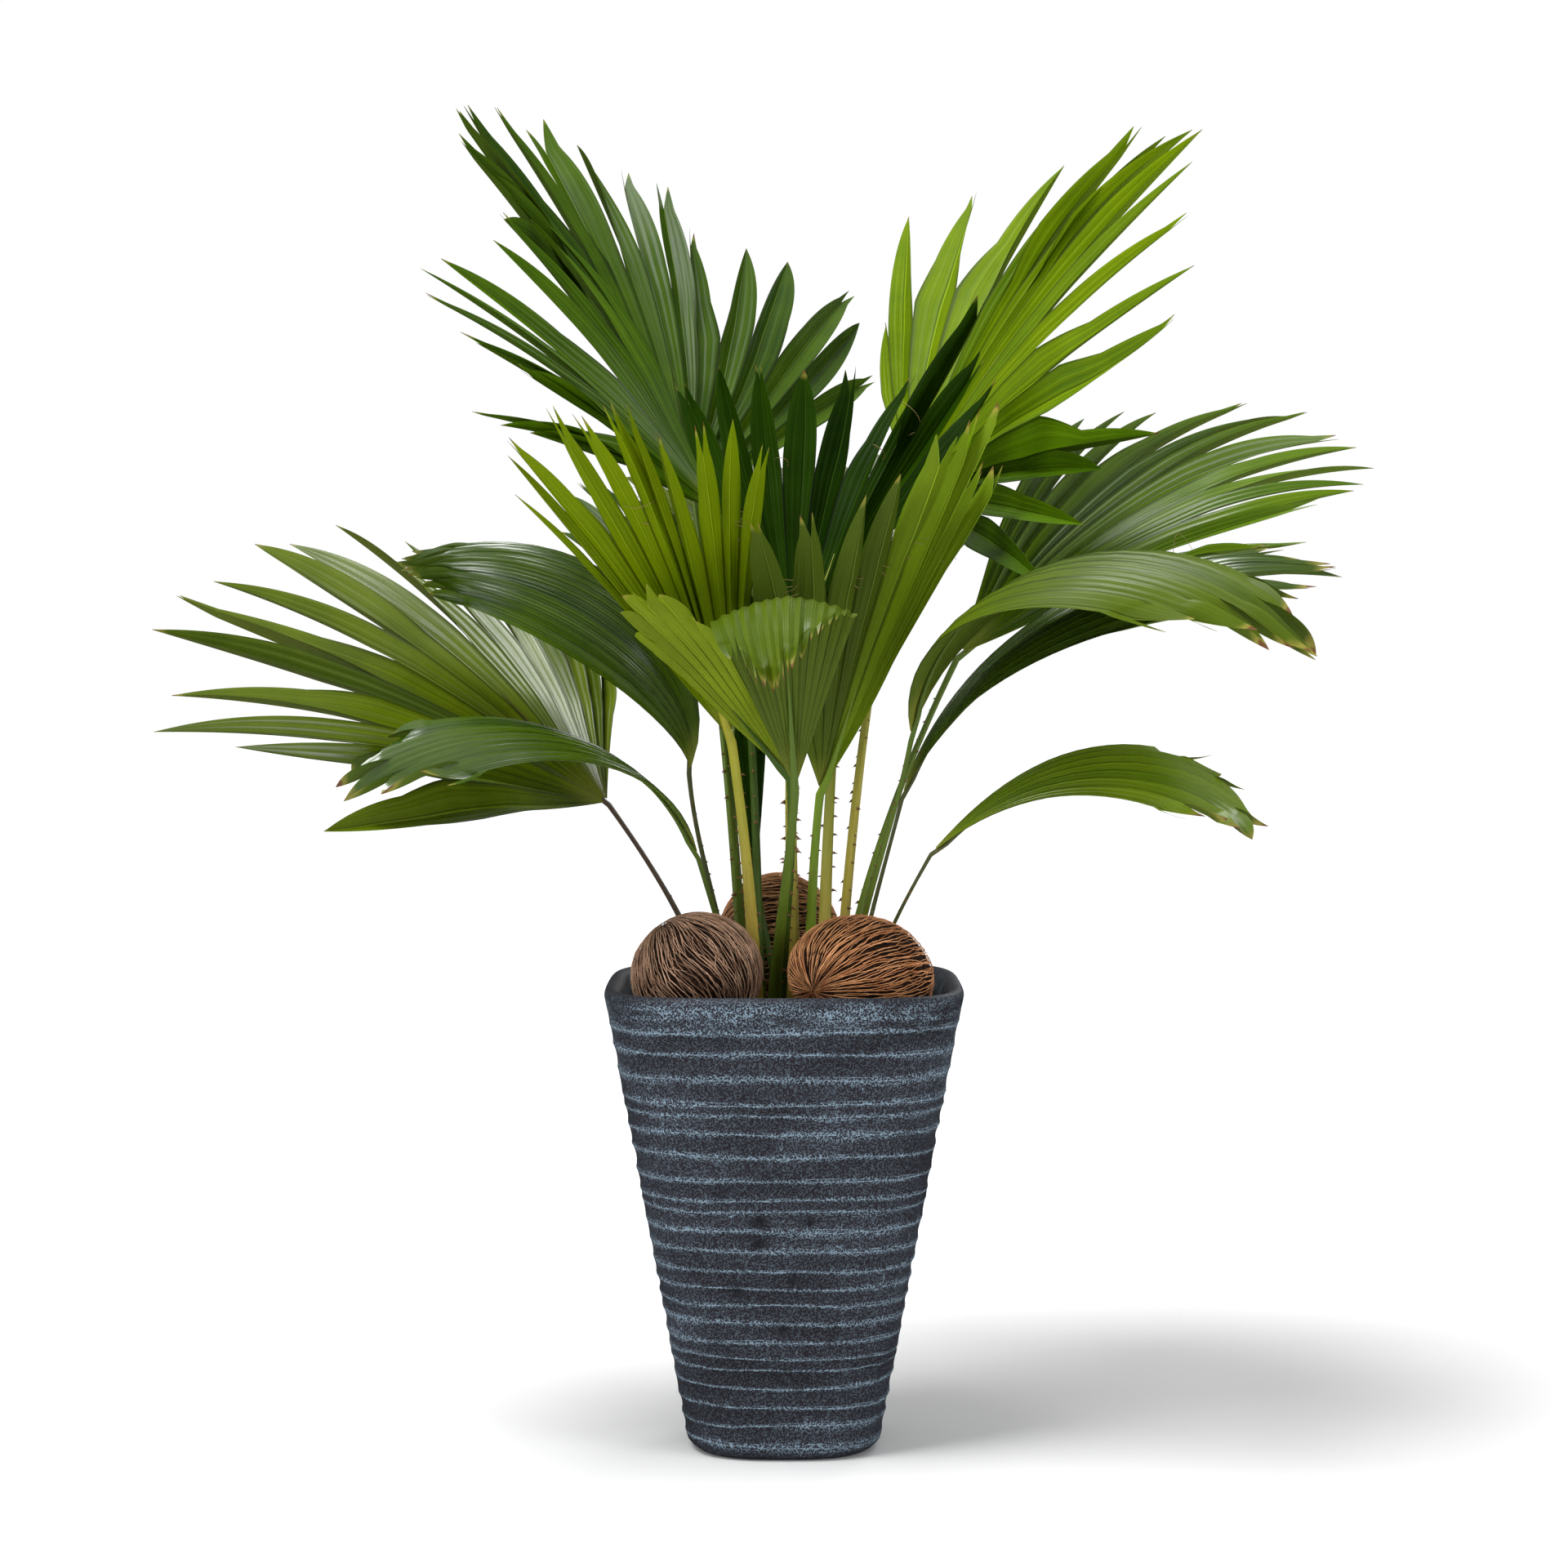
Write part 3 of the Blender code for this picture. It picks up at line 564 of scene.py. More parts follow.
    points = np.concatenate([strands, hair_points, core_points])
    faces = np.concatenate([quads, hair_quads + len(strands), core_quads + len(strands) + len(hair_points)])
    strand_map = [strips * (pod.strands, 1), hair_strips * (POD_HAIRS, 1) + (pod.strands, 0), core_map]
    bake_map = [strips * (1, 0.68) + (0, 0.31), hair_strips * (1, 0.08) + (0, 0.215), core_map]
    maps = {"Strand": np.concatenate(strand_map), "OFBake": np.concatenate(bake_map)}
    slots = np.repeat((0, 0, 1), (len(quads), len(hair_quads), len(core_quads)))
    ball = make_piece(pod.name + "_fibrous", points, faces, maps, [pod_fibre, shaded_kernel], slots)
    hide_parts(pod.name)


# ---- The leaf stalks
# Each leaf stands on one firm green stalk, flat above and round below, with short thorns along both edges.
# Its foot is set in the root crown, and its end runs on under the blade as a tapering rib.
CLEARANCE = 0.0003
BLADE_START = 0.0042
STALK_FOOT_RADIUS, STALK_TIP_RADIUS = 0.0046, 0.0026
STALK_ARRIVAL = 0.35
FOLD_REACH = 0.10
ARC_STEPS, ARC_BEYOND = 96, 24
STALK_SIDES, STALK_STEPS, UNDER_STEPS = 14, 60, 16
RIB_START, RIB_END, RIB_RADIUS = 0.03, 0.34, 0.0024
THORN_START, THORN_SPACING, THORN_SIDES, THORN_STEPS = 0.022, 0.0085, 6, 5
THORN_LOW, THORN_HIGH, THORN_SHARE, THORN_DROOP = 0.0044, 0.0022, 0.34, 0.35

# foot, knuckle and tip place the leaf, in millimetres, and bend, late, roll, fold and split shape it.
# stout: how thick the stalk is. green and stalk: its colours. browned: how far its leaflet ends have dried.
# turns and reaches: each leaflet's turn off straight ahead, and how many hundredths of the leaf it reaches.
LEAF_FIELDS = "name foot knuckle tip bend late roll fold split stout green stalk browned turns reaches"
Leaf = namedtuple("Leaf", LEAF_FIELDS)
LEAVES = [Leaf(*row) for row in (
    ("left_low", (-45, 0), (-119, 13, 431), (-407, -22, 556),
     20, 1.4, -26, 6, 0.52, 0.66, "olive", "purple", 0.2,
     (-50, -35, -27, -18, -4, 2, 15, 22, 31, 41, 49, 56, 63, 69, 74, 79),
     (85, 90, 104, 97, 102, 99, 100, 98, 98, 100, 95, 88, 84, 82, 65, 53)),
    ("left_slim", (-30, -3), (-57, -22, 397), (-271, -180, 437),
     101, 0.9, -21, 2, 0.88, 0.58, "deep", "green", 0.4,
     (-8.2, -2.5, 3.2, 8.8, 14.5, 20.2), (81, 93, 99, 99, 93, 81)),
    ("left_arching", (-33, 11), (-63, -10, 453), (-243, -16, 583),
     135, 0.7, -40, 4, 0.88, 0.6, "deep", "dusky", 0.1,
     (-27, -21, -16, -10, -5, 1, 7, 12, 18, 23, 29, 35, 40, 46),
     (92, 94, 96, 98, 100, 102, 104, 105, 106, 107, 107, 107, 106, 106)),
    ("front_left", (-18, -6), (-35, -40, 476), (-116, -182, 683),
     21, 1.3, 21, 18, 0.6, 1.1, "young", "cream", 0.4,
     (-23, -18, -14, -7, -4, -2, 2, 8, 15, 19, 22), (82, 89, 87, 87, 100, 99, 103, 102, 98, 91, 85)),
    ("front_middle", (-7, -13), (7, -87, 445), (2, -218, 516),
     185, 1.8, 2, -9, 0.93, 0.95, "dull", "green", 0.3,
     (-20, -17, -13, -10, -6, -3, 1, 4, 7, 11, 14, 17, 21),
     (72, 77, 83, 88, 92, 96, 99, 101, 101, 99, 95, 91, 87)),
    ("front_wing", (-2, -2), (4, -56, 452), (-88, -190, 598),
     21, 1.6, 5, 10, 0.84, 0.9, "meadow", "dark", 0.2,
     (1, 6, 11, 16, 21, 26), (66, 76, 80, 79, 74, 64)),
    ("front_right", (16, -8), (24, -18, 440), (93, -108, 659),
     2, 1.3, -3, 17, 0.62, 1.0, "leafy", "bright", 0.5,
     (-20, -16, -12, -10, -2, 4, 10, 19, 29), (102, 94, 118, 109, 104, 96, 90, 83, 85)),
    ("upper_left", (-26, 16), (-61, 70, 637), (-172, 190, 897),
     17, 1.5, 10, 15, 0.55, 1.0, "plain", "green", 0.15,
     (-35, -33, -31, -29, -23, -11, -1, 5, 10, 17, 22, 33, 41, 50, 56, 63),
     (76, 88, 93, 100, 100, 102, 105, 100, 94, 89, 77, 82, 91, 98, 88, 77)),
    ("mid_left", (-14, 5), (-44, 21, 627), (-227, -55, 780),
     19, 1.5, -43, 14, 0.5, 0.95, "glade", "dark", 0.3,
     (-39, -37, -35, -20, -18, -16, -7, -3, 4, 14, 20, 24, 30),
     (84, 93, 101, 77, 89, 94, 103, 103, 100, 94, 97, 93, 93)),
    ("upper_right", (36, 15), (85, 107, 643), (253, 190, 893),
     18, 1.5, 5, 7, 0.55, 0.95, "fresh", "straw", 0.15,
     (-44, -38, -27, -11, -5, -1, 4, 7, 12, 19, 26, 42, 55, 76, 80, 93, 104),
     (54, 100, 93, 95, 95, 103, 103, 109, 104, 94, 88, 83, 77, 80, 66, 68, 65)),
    ("right_wide", (36, 3), (120, 63, 530), (389, 142, 677),
     38, 1.3, 21, 12, 0.58, 0.78, "middle", "green", 0.25,
     (-35, -29, -25, -16, -12, -8, -4, 4, 10, 15, 22, 26, 34, 36),
     (78, 82, 86, 95, 101, 105, 104, 103, 101, 96, 91, 82, 80, 70)),
    ("right_folded", (41, -7), (83, -60, 478), (320, -200, 526),
     133, 0.9, 15, 4, 0.86, 0.62, "dull", "green", 0.45,
     (-33.3, -26, -18.7, -11.3, -4, 3.3, 10.7, 18, 25.3), (78, 88, 94, 99, 100, 99, 94, 88, 78)),
    ("right_under", (46, 2), (79, -1, 436), (367, -19, 591),
     85, 0.8, 16, 13, 0.75, 0.55, "deep", "dusky", 0.5,
     (-1.6, 2.3, 6.2, 10.1, 14, 17.9, 21.8, 25.7, 29.6), (78, 88, 94, 99, 100, 99, 94, 88, 78)),
    ("right_low", (53, -4), (97, -45, 401), (306, -80, 415),
     98, 1.4, 22, 3, 0.9, 0.5, "lit", "dusky", 0.5,
     (-19.1, -13.4, -7.7, -2, 3.7, 9.4, 15.1), (79, 91, 98, 100, 98, 91, 79)),
    ("middle", (6, 4), (6, -19, 528), (59, 91, 743),
     9, 1.4, 2, 20, 0.6, 1.15, "shaded", "straw", 0.2,
     (-32, -25, -19, -9, -1, 12, 19, 22, 27, 36), (92, 94, 90, 89, 94, 89, 99, 115, 97, 91)),
    ("back_slim", (-4, 21), (-19, 22, 377), (-30, 36, 487),
     8, 1.0, -6, 10, 0.85, 0.7, "shaded", "dark", 0.2,
     (-8, -4, 0, 4, 8), (86, 96, 100, 97, 88)),
    ("back_left", (-16, 13), (-34, 75, 485), (-114, 250, 647),
     40, 1.4, 0, 15, 0.62, 0.85, "plain", "green", 0.2,
     (-26.6, -21.8, -16.9, -12.1, -7.2, -2.4, 2.4, 7.2, 12.1, 16.9, 21.8, 26.6),
     (76, 84, 90, 95, 98, 100, 100, 98, 95, 90, 84, 76)),
    ("back_right", (26, 10), (34, 75, 473), (76, 280, 624),
     40, 1.4, 0, 15, 0.62, 1.15, "plain", "straw", 0.2,
     (-22.9, -18.8, -14.6, -10.4, -6.2, -2.1, 2.1, 6.2, 10.4, 14.6, 18.8, 22.9),
     (76, 84, 90, 95, 98, 100, 100, 98, 95, 90, 84, 76)),
    ("back_middle", (7, 13), (3, 110, 541), (3, 380, 664),
     60, 1.3, 0, 12, 0.62, 0.9, "olive", "green", 0.2,
     (-33.2, -27.7, -22.2, -16.6, -11.1, -5.5, 0, 5.5, 11.1, 16.6, 22.2, 27.7, 33.2),
     (76, 83, 89, 94, 97, 99, 100, 99, 97, 94, 89, 83, 76)),
)]
STALK_COLOURS = {
    "purple": ((92, 80, 56), (84, 64, 50)),
    "dusky": ((92, 102, 42), (86, 92, 50)),
    "green": ((108, 130, 34), (92, 116, 34)),
    "dark": ((72, 100, 20), (68, 98, 24)),
    "bright": ((132, 160, 28), (116, 146, 28)),
    "cream": ((228, 196, 92), (180, 176, 52)),
    "straw": ((204, 184, 82), (144, 150, 50)),
}


def leaf_axes(leaf):
    """The blade's directions at its knuckle, its length, and how far its arch has gone along and down."""
    bend = math.radians(leaf.bend)
    steps = (np.arange(ARC_STEPS + ARC_BEYOND) + 0.5) / ARC_STEPS
    bent = bend * steps**leaf.late
    along = np.concatenate([[0], np.cumsum(np.cos(bent))]) / ARC_STEPS
    sunk = np.concatenate([[0], np.cumsum(np.sin(bent))]) / ARC_STEPS
    knuckle, tip = np.array(leaf.knuckle) / 1000, np.array(leaf.tip) / 1000
    length = np.linalg.norm(tip - knuckle) / math.hypot(along[ARC_STEPS], sunk[ARC_STEPS])
    chord = unit(tip - knuckle)
    up = np.array((0.0, 0.0, 1.6)) - tip
    up = unit(up - up.dot(chord) * chord)
    side = np.cross(chord, up)
    roll = math.radians(leaf.roll)
    up = math.cos(roll) * up + math.sin(roll) * side
    lean = math.atan2(sunk[ARC_STEPS], along[ARC_STEPS])
    ahead = math.cos(lean) * chord + math.sin(lean) * up
    up = math.cos(lean) * up - math.sin(lean) * chord
    return ahead, np.cross(ahead, up), up, length, along * length, sunk * length


def blade_surface(leaf, axes, turned, reach, share, stretch=0.0):
    """Points of a blade, with the way it runs, the way it faces, and the distance from the knuckle."""
    ahead, side, up, length, along, sunk = axes
    distance = BLADE_START + (reach * length - BLADE_START) * share + stretch
    fold = math.radians(leaf.fold) * np.minimum(1, distance / FOLD_REACH)
    heading = np.cos(turned)[..., None] * ahead + (np.sin(turned) * np.cos(fold))[..., None] * side
    heading = heading + (np.abs(np.sin(turned)) * np.sin(fold))[..., None] * up
    down = unit(-up + (heading @ up)[..., None] * heading)
    part = distance / length
    marks = np.arange(ARC_STEPS + ARC_BEYOND + 1) / ARC_STEPS
    point = np.array(leaf.knuckle) / 1000 + np.interp(part, marks, along)[..., None] * heading
    point = point + np.interp(part, marks, sunk)[..., None] * down
    bent = (math.radians(leaf.bend) * part**leaf.late)[..., None]
    runs = np.cos(bent) * heading + np.sin(bent) * down
    return point, runs, np.sin(bent) * heading - np.cos(bent) * down, distance


def swept(line, radii, sideways, section):
    """Points and quads of one section drawn along a line."""
    along = unit(np.gradient(line, axis=0))
    across = unit(sideways - (along @ sideways)[:, None] * along)
    above = np.cross(across, along)
    ring = section[:, :1] * across[:, None] + section[:, 1:] * above[:, None]
    points = line[:, None] + radii[:, None, None] * ring
    quads, corners = grid(len(line), len(section), wrap=True, flip=True)
    return points.reshape(-1, 3), quads, corners


def stalk_finish(name, foot, top):
    """Fibrous green skin, paler or redder towards the foot, with fine streaks along it."""
    material, shader, place = new_finish(name, 0.42, 0.45)
    on_stalk, _, up_stalk = read_map(place.tree, "Stalk")
    streaks = speckle(on_stalk, 1.0, 3.0, 0.6, stretch=(26, 9, 1))
    blotch = speckle(place, 45.0, 3.0, 0.6)
    base = blended(fade(up_stalk, 0.05, 0.85), colour(*foot), colour(*top))
    base = blended(fade(streaks, 0.42, 0.75, 0.0, 0.45), base, tuple(c * 0.62 for c in colour(*top)))
    base = blended(fade(blotch, 0.58, 0.80, 0.0, 0.5), base, colour(132, 112, 62))
    base = blended(fade(up_stalk, 0.07, 0.0, 0.0, 0.8), base, colour(96, 74, 44))
    feed(shader.inputs["Base Color"], base)
    roughen(shader, streaks, 0.35, 0.0006)
    return material


stalk_finishes = {name: stalk_finish("stalk_" + name, *pair) for name, pair in STALK_COLOURS.items()}
thorn_horn, shader, place = new_finish("thorn_horn", 0.5, 0.4)
paint(shader, speckle(place, 220.0), (92, 52, 30), (146, 108, 58))

angle = 2 * np.pi * np.arange(STALK_SIDES) / STALK_SIDES
section = np.stack([0.96 * np.cos(angle), np.where(np.sin(angle) > 0, 0.52, 0.98) * np.sin(angle)], axis=1)
section[:, 1] -= 0.10 * np.exp(-((np.cos(angle) / 0.45) ** 2)) * (np.sin(angle) > 0)
for seed, leaf in enumerate(LEAVES):
    axes = leaf_axes(leaf)
    foot = np.array((leaf.foot[0] / 1000, leaf.foot[1] / 1000, SOIL_TOP + CROWN_HEIGHT + 2 * CLEARANCE))
    knuckle = np.array(leaf.knuckle) / 1000
    straight = unit(knuckle - foot)
    handle = np.linalg.norm(knuckle - foot) / 3
    leaving, arriving = unit(straight + (0, 0, 1)), unit(straight + STALK_ARRIVAL * axes[0])
    t = np.linspace(0, 1, STALK_STEPS)[:, None]
    line = foot * (1 - t) ** 3 + (foot + handle * leaving) * 3 * t * (1 - t) ** 2
    line = line + (knuckle - handle * arriving) * 3 * t * t * (1 - t) + knuckle * t**3
    radii = leaf.stout * (STALK_FOOT_RADIUS + (STALK_TIP_RADIUS - STALK_FOOT_RADIUS) * t[:, 0])
    radii = radii * (1 + 0.22 * np.exp(-t[:, 0] * np.linalg.norm(knuckle - foot) / 0.012))
    radii = radii + 0.0007 * t[:, 0] ** 8
    central = len(leaf.turns) // 2
    turned = np.full(UNDER_STEPS, math.radians(leaf.turns[central]))
    under_share = np.linspace(RIB_START, RIB_END, UNDER_STEPS)
    under, _, faces_up, _ = blade_surface(leaf, axes, turned, leaf.reaches[central] / 100, under_share)
    under_radii = RIB_RADIUS * leaf.stout**0.5 * (1 - np.linspace(0, 1, UNDER_STEPS)) ** 1.2 + 0.00025
    under = under - faces_up * (under_radii * 0.75 + 0.0009)[:, None]
    line = np.concatenate([foot[None] - (0, 0, 0.004), line[:-1], under])
    radii = np.concatenate([radii[:1] * 1.05, radii[:-1], under_radii])
    side = unit(axes[1])
    body, quads, corners = swept(line, radii, side, section)
    up_line, round_line = corners[..., 0], corners[..., 1] / STALK_SIDES
    stalk_map = np.stack([round_line, np.minimum(1, up_line / STALK_STEPS)], axis=-1)
    bake_map = np.stack([0.9 * round_line, up_line / (len(line) - 1)], axis=-1)
    grower = np.random.default_rng(40 + seed)
    spacing = np.linalg.norm(np.diff(line[:STALK_STEPS], axis=0), axis=1).cumsum()
    marks = np.arange(THORN_START, spacing[-1] * 0.93, THORN_SPACING)
    marks = marks + grower.uniform(-0.003, 0.003, len(marks))
    index = np.searchsorted(spacing, marks).clip(1, STALK_STEPS - 2)
    edge = np.where(np.arange(len(marks)) % 2 == 0, 1.0, -1.0)
    edge = edge * np.where(grower.uniform(0, 1, len(marks)) < 0.2, -1, 1)
    along = unit(np.gradient(line, axis=0))[index]
    across = unit(side - (along @ side)[:, None] * along)
    size = THORN_LOW + (THORN_HIGH - THORN_LOW) * marks / spacing[-1]
    size = size * grower.uniform(0.55, 1.25, len(marks)) * leaf.stout**0.5
    root = line[index] + across * (edge * radii[index] * 1.02)[:, None]
    step = np.linspace(0, 1, THORN_STEPS)
    thorn_lines = root[:, None] + (across * (edge * size)[:, None])[:, None] * step[:, None]
    thorn_lines = thorn_lines - (along * (size * THORN_DROOP)[:, None])[:, None] * step[:, None] ** 2
    thorn_radii = (size * THORN_SHARE)[:, None] * (1 - 0.93 * step) ** 1.2
    thorn_points, thorn_quads, thorn_strips = tubes(thorn_lines, thorn_radii, THORN_SIDES)
    slots = np.repeat((0, 1), (len(quads), len(thorn_quads)))
    bake_map = np.concatenate([bake_map, thorn_strips * (0.08, 1) + (0.915, 0)])
    maps = {"Stalk": np.concatenate([stalk_map, thorn_strips]), "OFBake": bake_map}
    caps = range(STALK_SIDES), range(len(body) - 1, len(body) - STALK_SIDES - 1, -1)
    points = np.concatenate([body, thorn_points])
    faces = np.concatenate([quads, thorn_quads + len(body)])
    skins = [stalk_finishes[leaf.stalk], thorn_horn]
    stalk = make_piece(leaf.name + "_thorny_stalk", points, faces, maps, skins, slots, caps)
    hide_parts(leaf.name + "_stalk")


# ---- The leaf blades
# A stiff round fan, pleated like a paper one: each leaflet is a shallow trough along its own rib, joined to
# its neighbours for half its length or more, and free beyond, where it narrows to a drooping point.
HALF_COLUMNS = 4
JOINED_ROWS, FREE_ROWS = 16, 24
NOTCHED_SHARE, NOTCH_NARROWER, NOTCH_OPEN, LEAST_WIDTH = 0.45, 0.35, 0.62, 0.006
LAYER, LAYERED_BY = 0.0011, 0.2
LOBE_POWER, LOBE_SPREAD = 2.0, 0.66
SLENDER_POWER = 1.5
SLENDER_LEAVES = ("left_low", "right_wide", "upper_right", "right_under")
WIDEST, NARROWEST, PARTED_BY = 1.25, 0.8, 0.35
FLATTEST, FLAT_BEND = 0.5, 185
PLEAT, PLEAT_WIDTH, STEEPEST_PLEAT = 0.60, 1.20, 1.6
SHEET = 0.00045
FACE_SHARE, UPPER_START, UNDER_START = 0.475, 0.52, 0.005
WALL_START, WALL_END, NOTCH_WALL_LIFT = 0.486, 0.499, 0.015
# For each green: upper face in light and deep, then the under face, then how rough and how glossy it is.
# Each leaf's green is set to how bright that leaf looks, so besides its own tone it carries painted light and
# shade: shaded is painted shade for leaves under the others, lit is a lighter copy painted for a leaf in full
# light, and the glade green is painted shade for leaflets that hang in shade.
GREENS = {
    "shaded": ((40, 70, 0), (16, 38, 0), (40, 60, 0), 0.36, 0.05),
    "plain": ((76, 106, 0), (35, 64, 0), (66, 90, 2), 0.32, 0.16),
    "deep": ((78, 104, 6), (40, 68, 0), (92, 118, 14), 0.20, 1.0),
    "olive": ((106, 124, 8), (64, 86, 0), (92, 108, 12), 0.26, 0.42),
    "middle": ((112, 142, 8), (66, 100, 0), (94, 118, 12), 0.28, 0.42),
    "leafy": ((132, 164, 12), (86, 124, 0), (124, 152, 18), 0.32, 0.18),
    "dull": ((94, 114, 14), (66, 88, 4), (88, 108, 26), 0.34, 0.28),
    "lit": ((134, 158, 26), (94, 124, 6), (98, 116, 16), 0.24, 0.60),
    "young": ((132, 164, 12), (76, 108, 2), (122, 146, 2), 0.36, 0.12),
    "meadow": ((148, 170, 34), (108, 132, 10), (134, 156, 22), 0.32, 0.25),
    "glade": ((88, 122, 4), (50, 82, 0), (70, 98, 2), 0.30, 0.20),
    "fresh": ((132, 158, 0), (84, 116, 0), (108, 136, 0), 0.46, 0.08),
}


def blade_finish(name, light, deep, roughness, specular, browned):
    """Leaf skin: leaflets and their halves a little different, partly as painted shade, with a pale rib, fine
    veins, painted shade in the folds and dry yellow-brown ends.
    """
    material, shader, place = new_finish(name, roughness, specular)
    tree = place.tree
    on_leaf, across, along = read_map(tree, "Leaf")
    own = made(tree, "TexWhiteNoise", {"W": maths("FLOOR", across)}, "Value", noise_dimensions="1D")
    # Each half of a leaflet gets its own random tone: partly the leaf's own, partly painted light and shade
    # for the lit and shaded halves of each pleat.
    half = maths("FLOOR", across * 2.0) + 50.5
    half_tone_and_shade = made(tree, "TexWhiteNoise", {"W": half}, "Value", noise_dimensions="1D")
    from_rib = abs(maths("FRACT", across) * 2.0 - 1.0)
    veins = maths("SINE", from_rib * 17.0)
    streaks = speckle(on_leaf, 1.0, 2.0, 0.6, stretch=(26, 1.1, 1))
    mottle = speckle(place, 26.0, 3.0, 0.55)
    tone = (own - 0.5) * 0.45 + 0.5 + (half_tone_and_shade - 0.5) * 0.40 + (mottle - 0.5) * 0.9 + (streaks - 0.5) * 0.9
    base = blended(maths("ADD", tone, veins * 0.13, clamp=True), colour(*deep), colour(*light))
    paler = tuple(min(1.0, c * 1.7 + 0.01) for c in colour(*light))
    darker = tuple(c * 0.34 for c in colour(*deep))
    # Painted shade: the valley where two leaflets meet is darkened in the joined part of the fan, for the
    # shade in the fold.
    fold_shade = fade(from_rib, 0.80, 0.97) * fade(along, 0.80, 0.55, 0.0, 0.75)
    base = blended(fold_shade, base, darker)
    base = blended(fade(veins, 0.80, 0.98, 0.0, 0.28), base, darker)
    base = blended(fade(from_rib, 0.17, 0.09, 0.0, 0.40), base, darker)
    base = blended(fade(from_rib, 0.07, 0.035, 0.0, 0.55), base, paler)
    base = blended(fade(along, 0.13, 0.0, 0.0, 0.55), base, colour(150, 152, 60))
    ends = along + (mottle - 0.5) * 0.10 + (own - 0.5) * (0.05 * browned)
    yellow = fade(ends, 0.985 - 0.05 * browned, 1.0 - 0.02 * browned, 0.0, min(0.8, 0.3 + browned))
    base = blended(yellow, base, colour(160, 150, 66))
    brown = fade(ends, 1.0 - 0.025 * browned, 1.01 - 0.02 * browned)
    feed(shader.inputs["Base Color"], blended(brown, base, colour(118, 80, 48)))
    feed(shader.inputs["Roughness"], fade(streaks, 0.3, 0.7, roughness - 0.05, roughness + 0.09))
    relief = (veins * 0.35 + streaks * 0.5) * fade(along, 0.0, 0.65)
    roughen(shader, relief * fade(along, 0.98, 0.6, 0.1, 1.0), 0.45, 0.0009)
    return material


# Some leaves have a few leaflets painted in another green for the light on them: painted shade on
# upper_right's hanging leaflets, painted shade and grey sheen on front_right's left ones. Which green, the
# first of them and the one past the last.
SHADE_AND_SHEEN_GREENS = {"upper_right": ("glade", 13, 17), "front_right": ("dull", 5, 9)}
leaf_skins = {}
for leaf in LEAVES:
    for green in (leaf.green, SHADE_AND_SHEEN_GREENS.get(leaf.name, (leaf.green,))[0]):
        light, deep, under, smoothness, gloss = GREENS[green]
        if (green, leaf.browned) not in leaf_skins:
            title = f"leaf_{green}_{round(100 * leaf.browned)}"
            upper_skin = blade_finish(title + "_upper", light, deep, smoothness, gloss, leaf.browned)
            shade = tuple(c * 0.8 for c in under)
            under_skin = blade_finish(title + "_under", under, shade, 0.5, 0.5 * gloss, leaf.browned)
            leaf_skins[green, leaf.browned] = [upper_skin, under_skin]

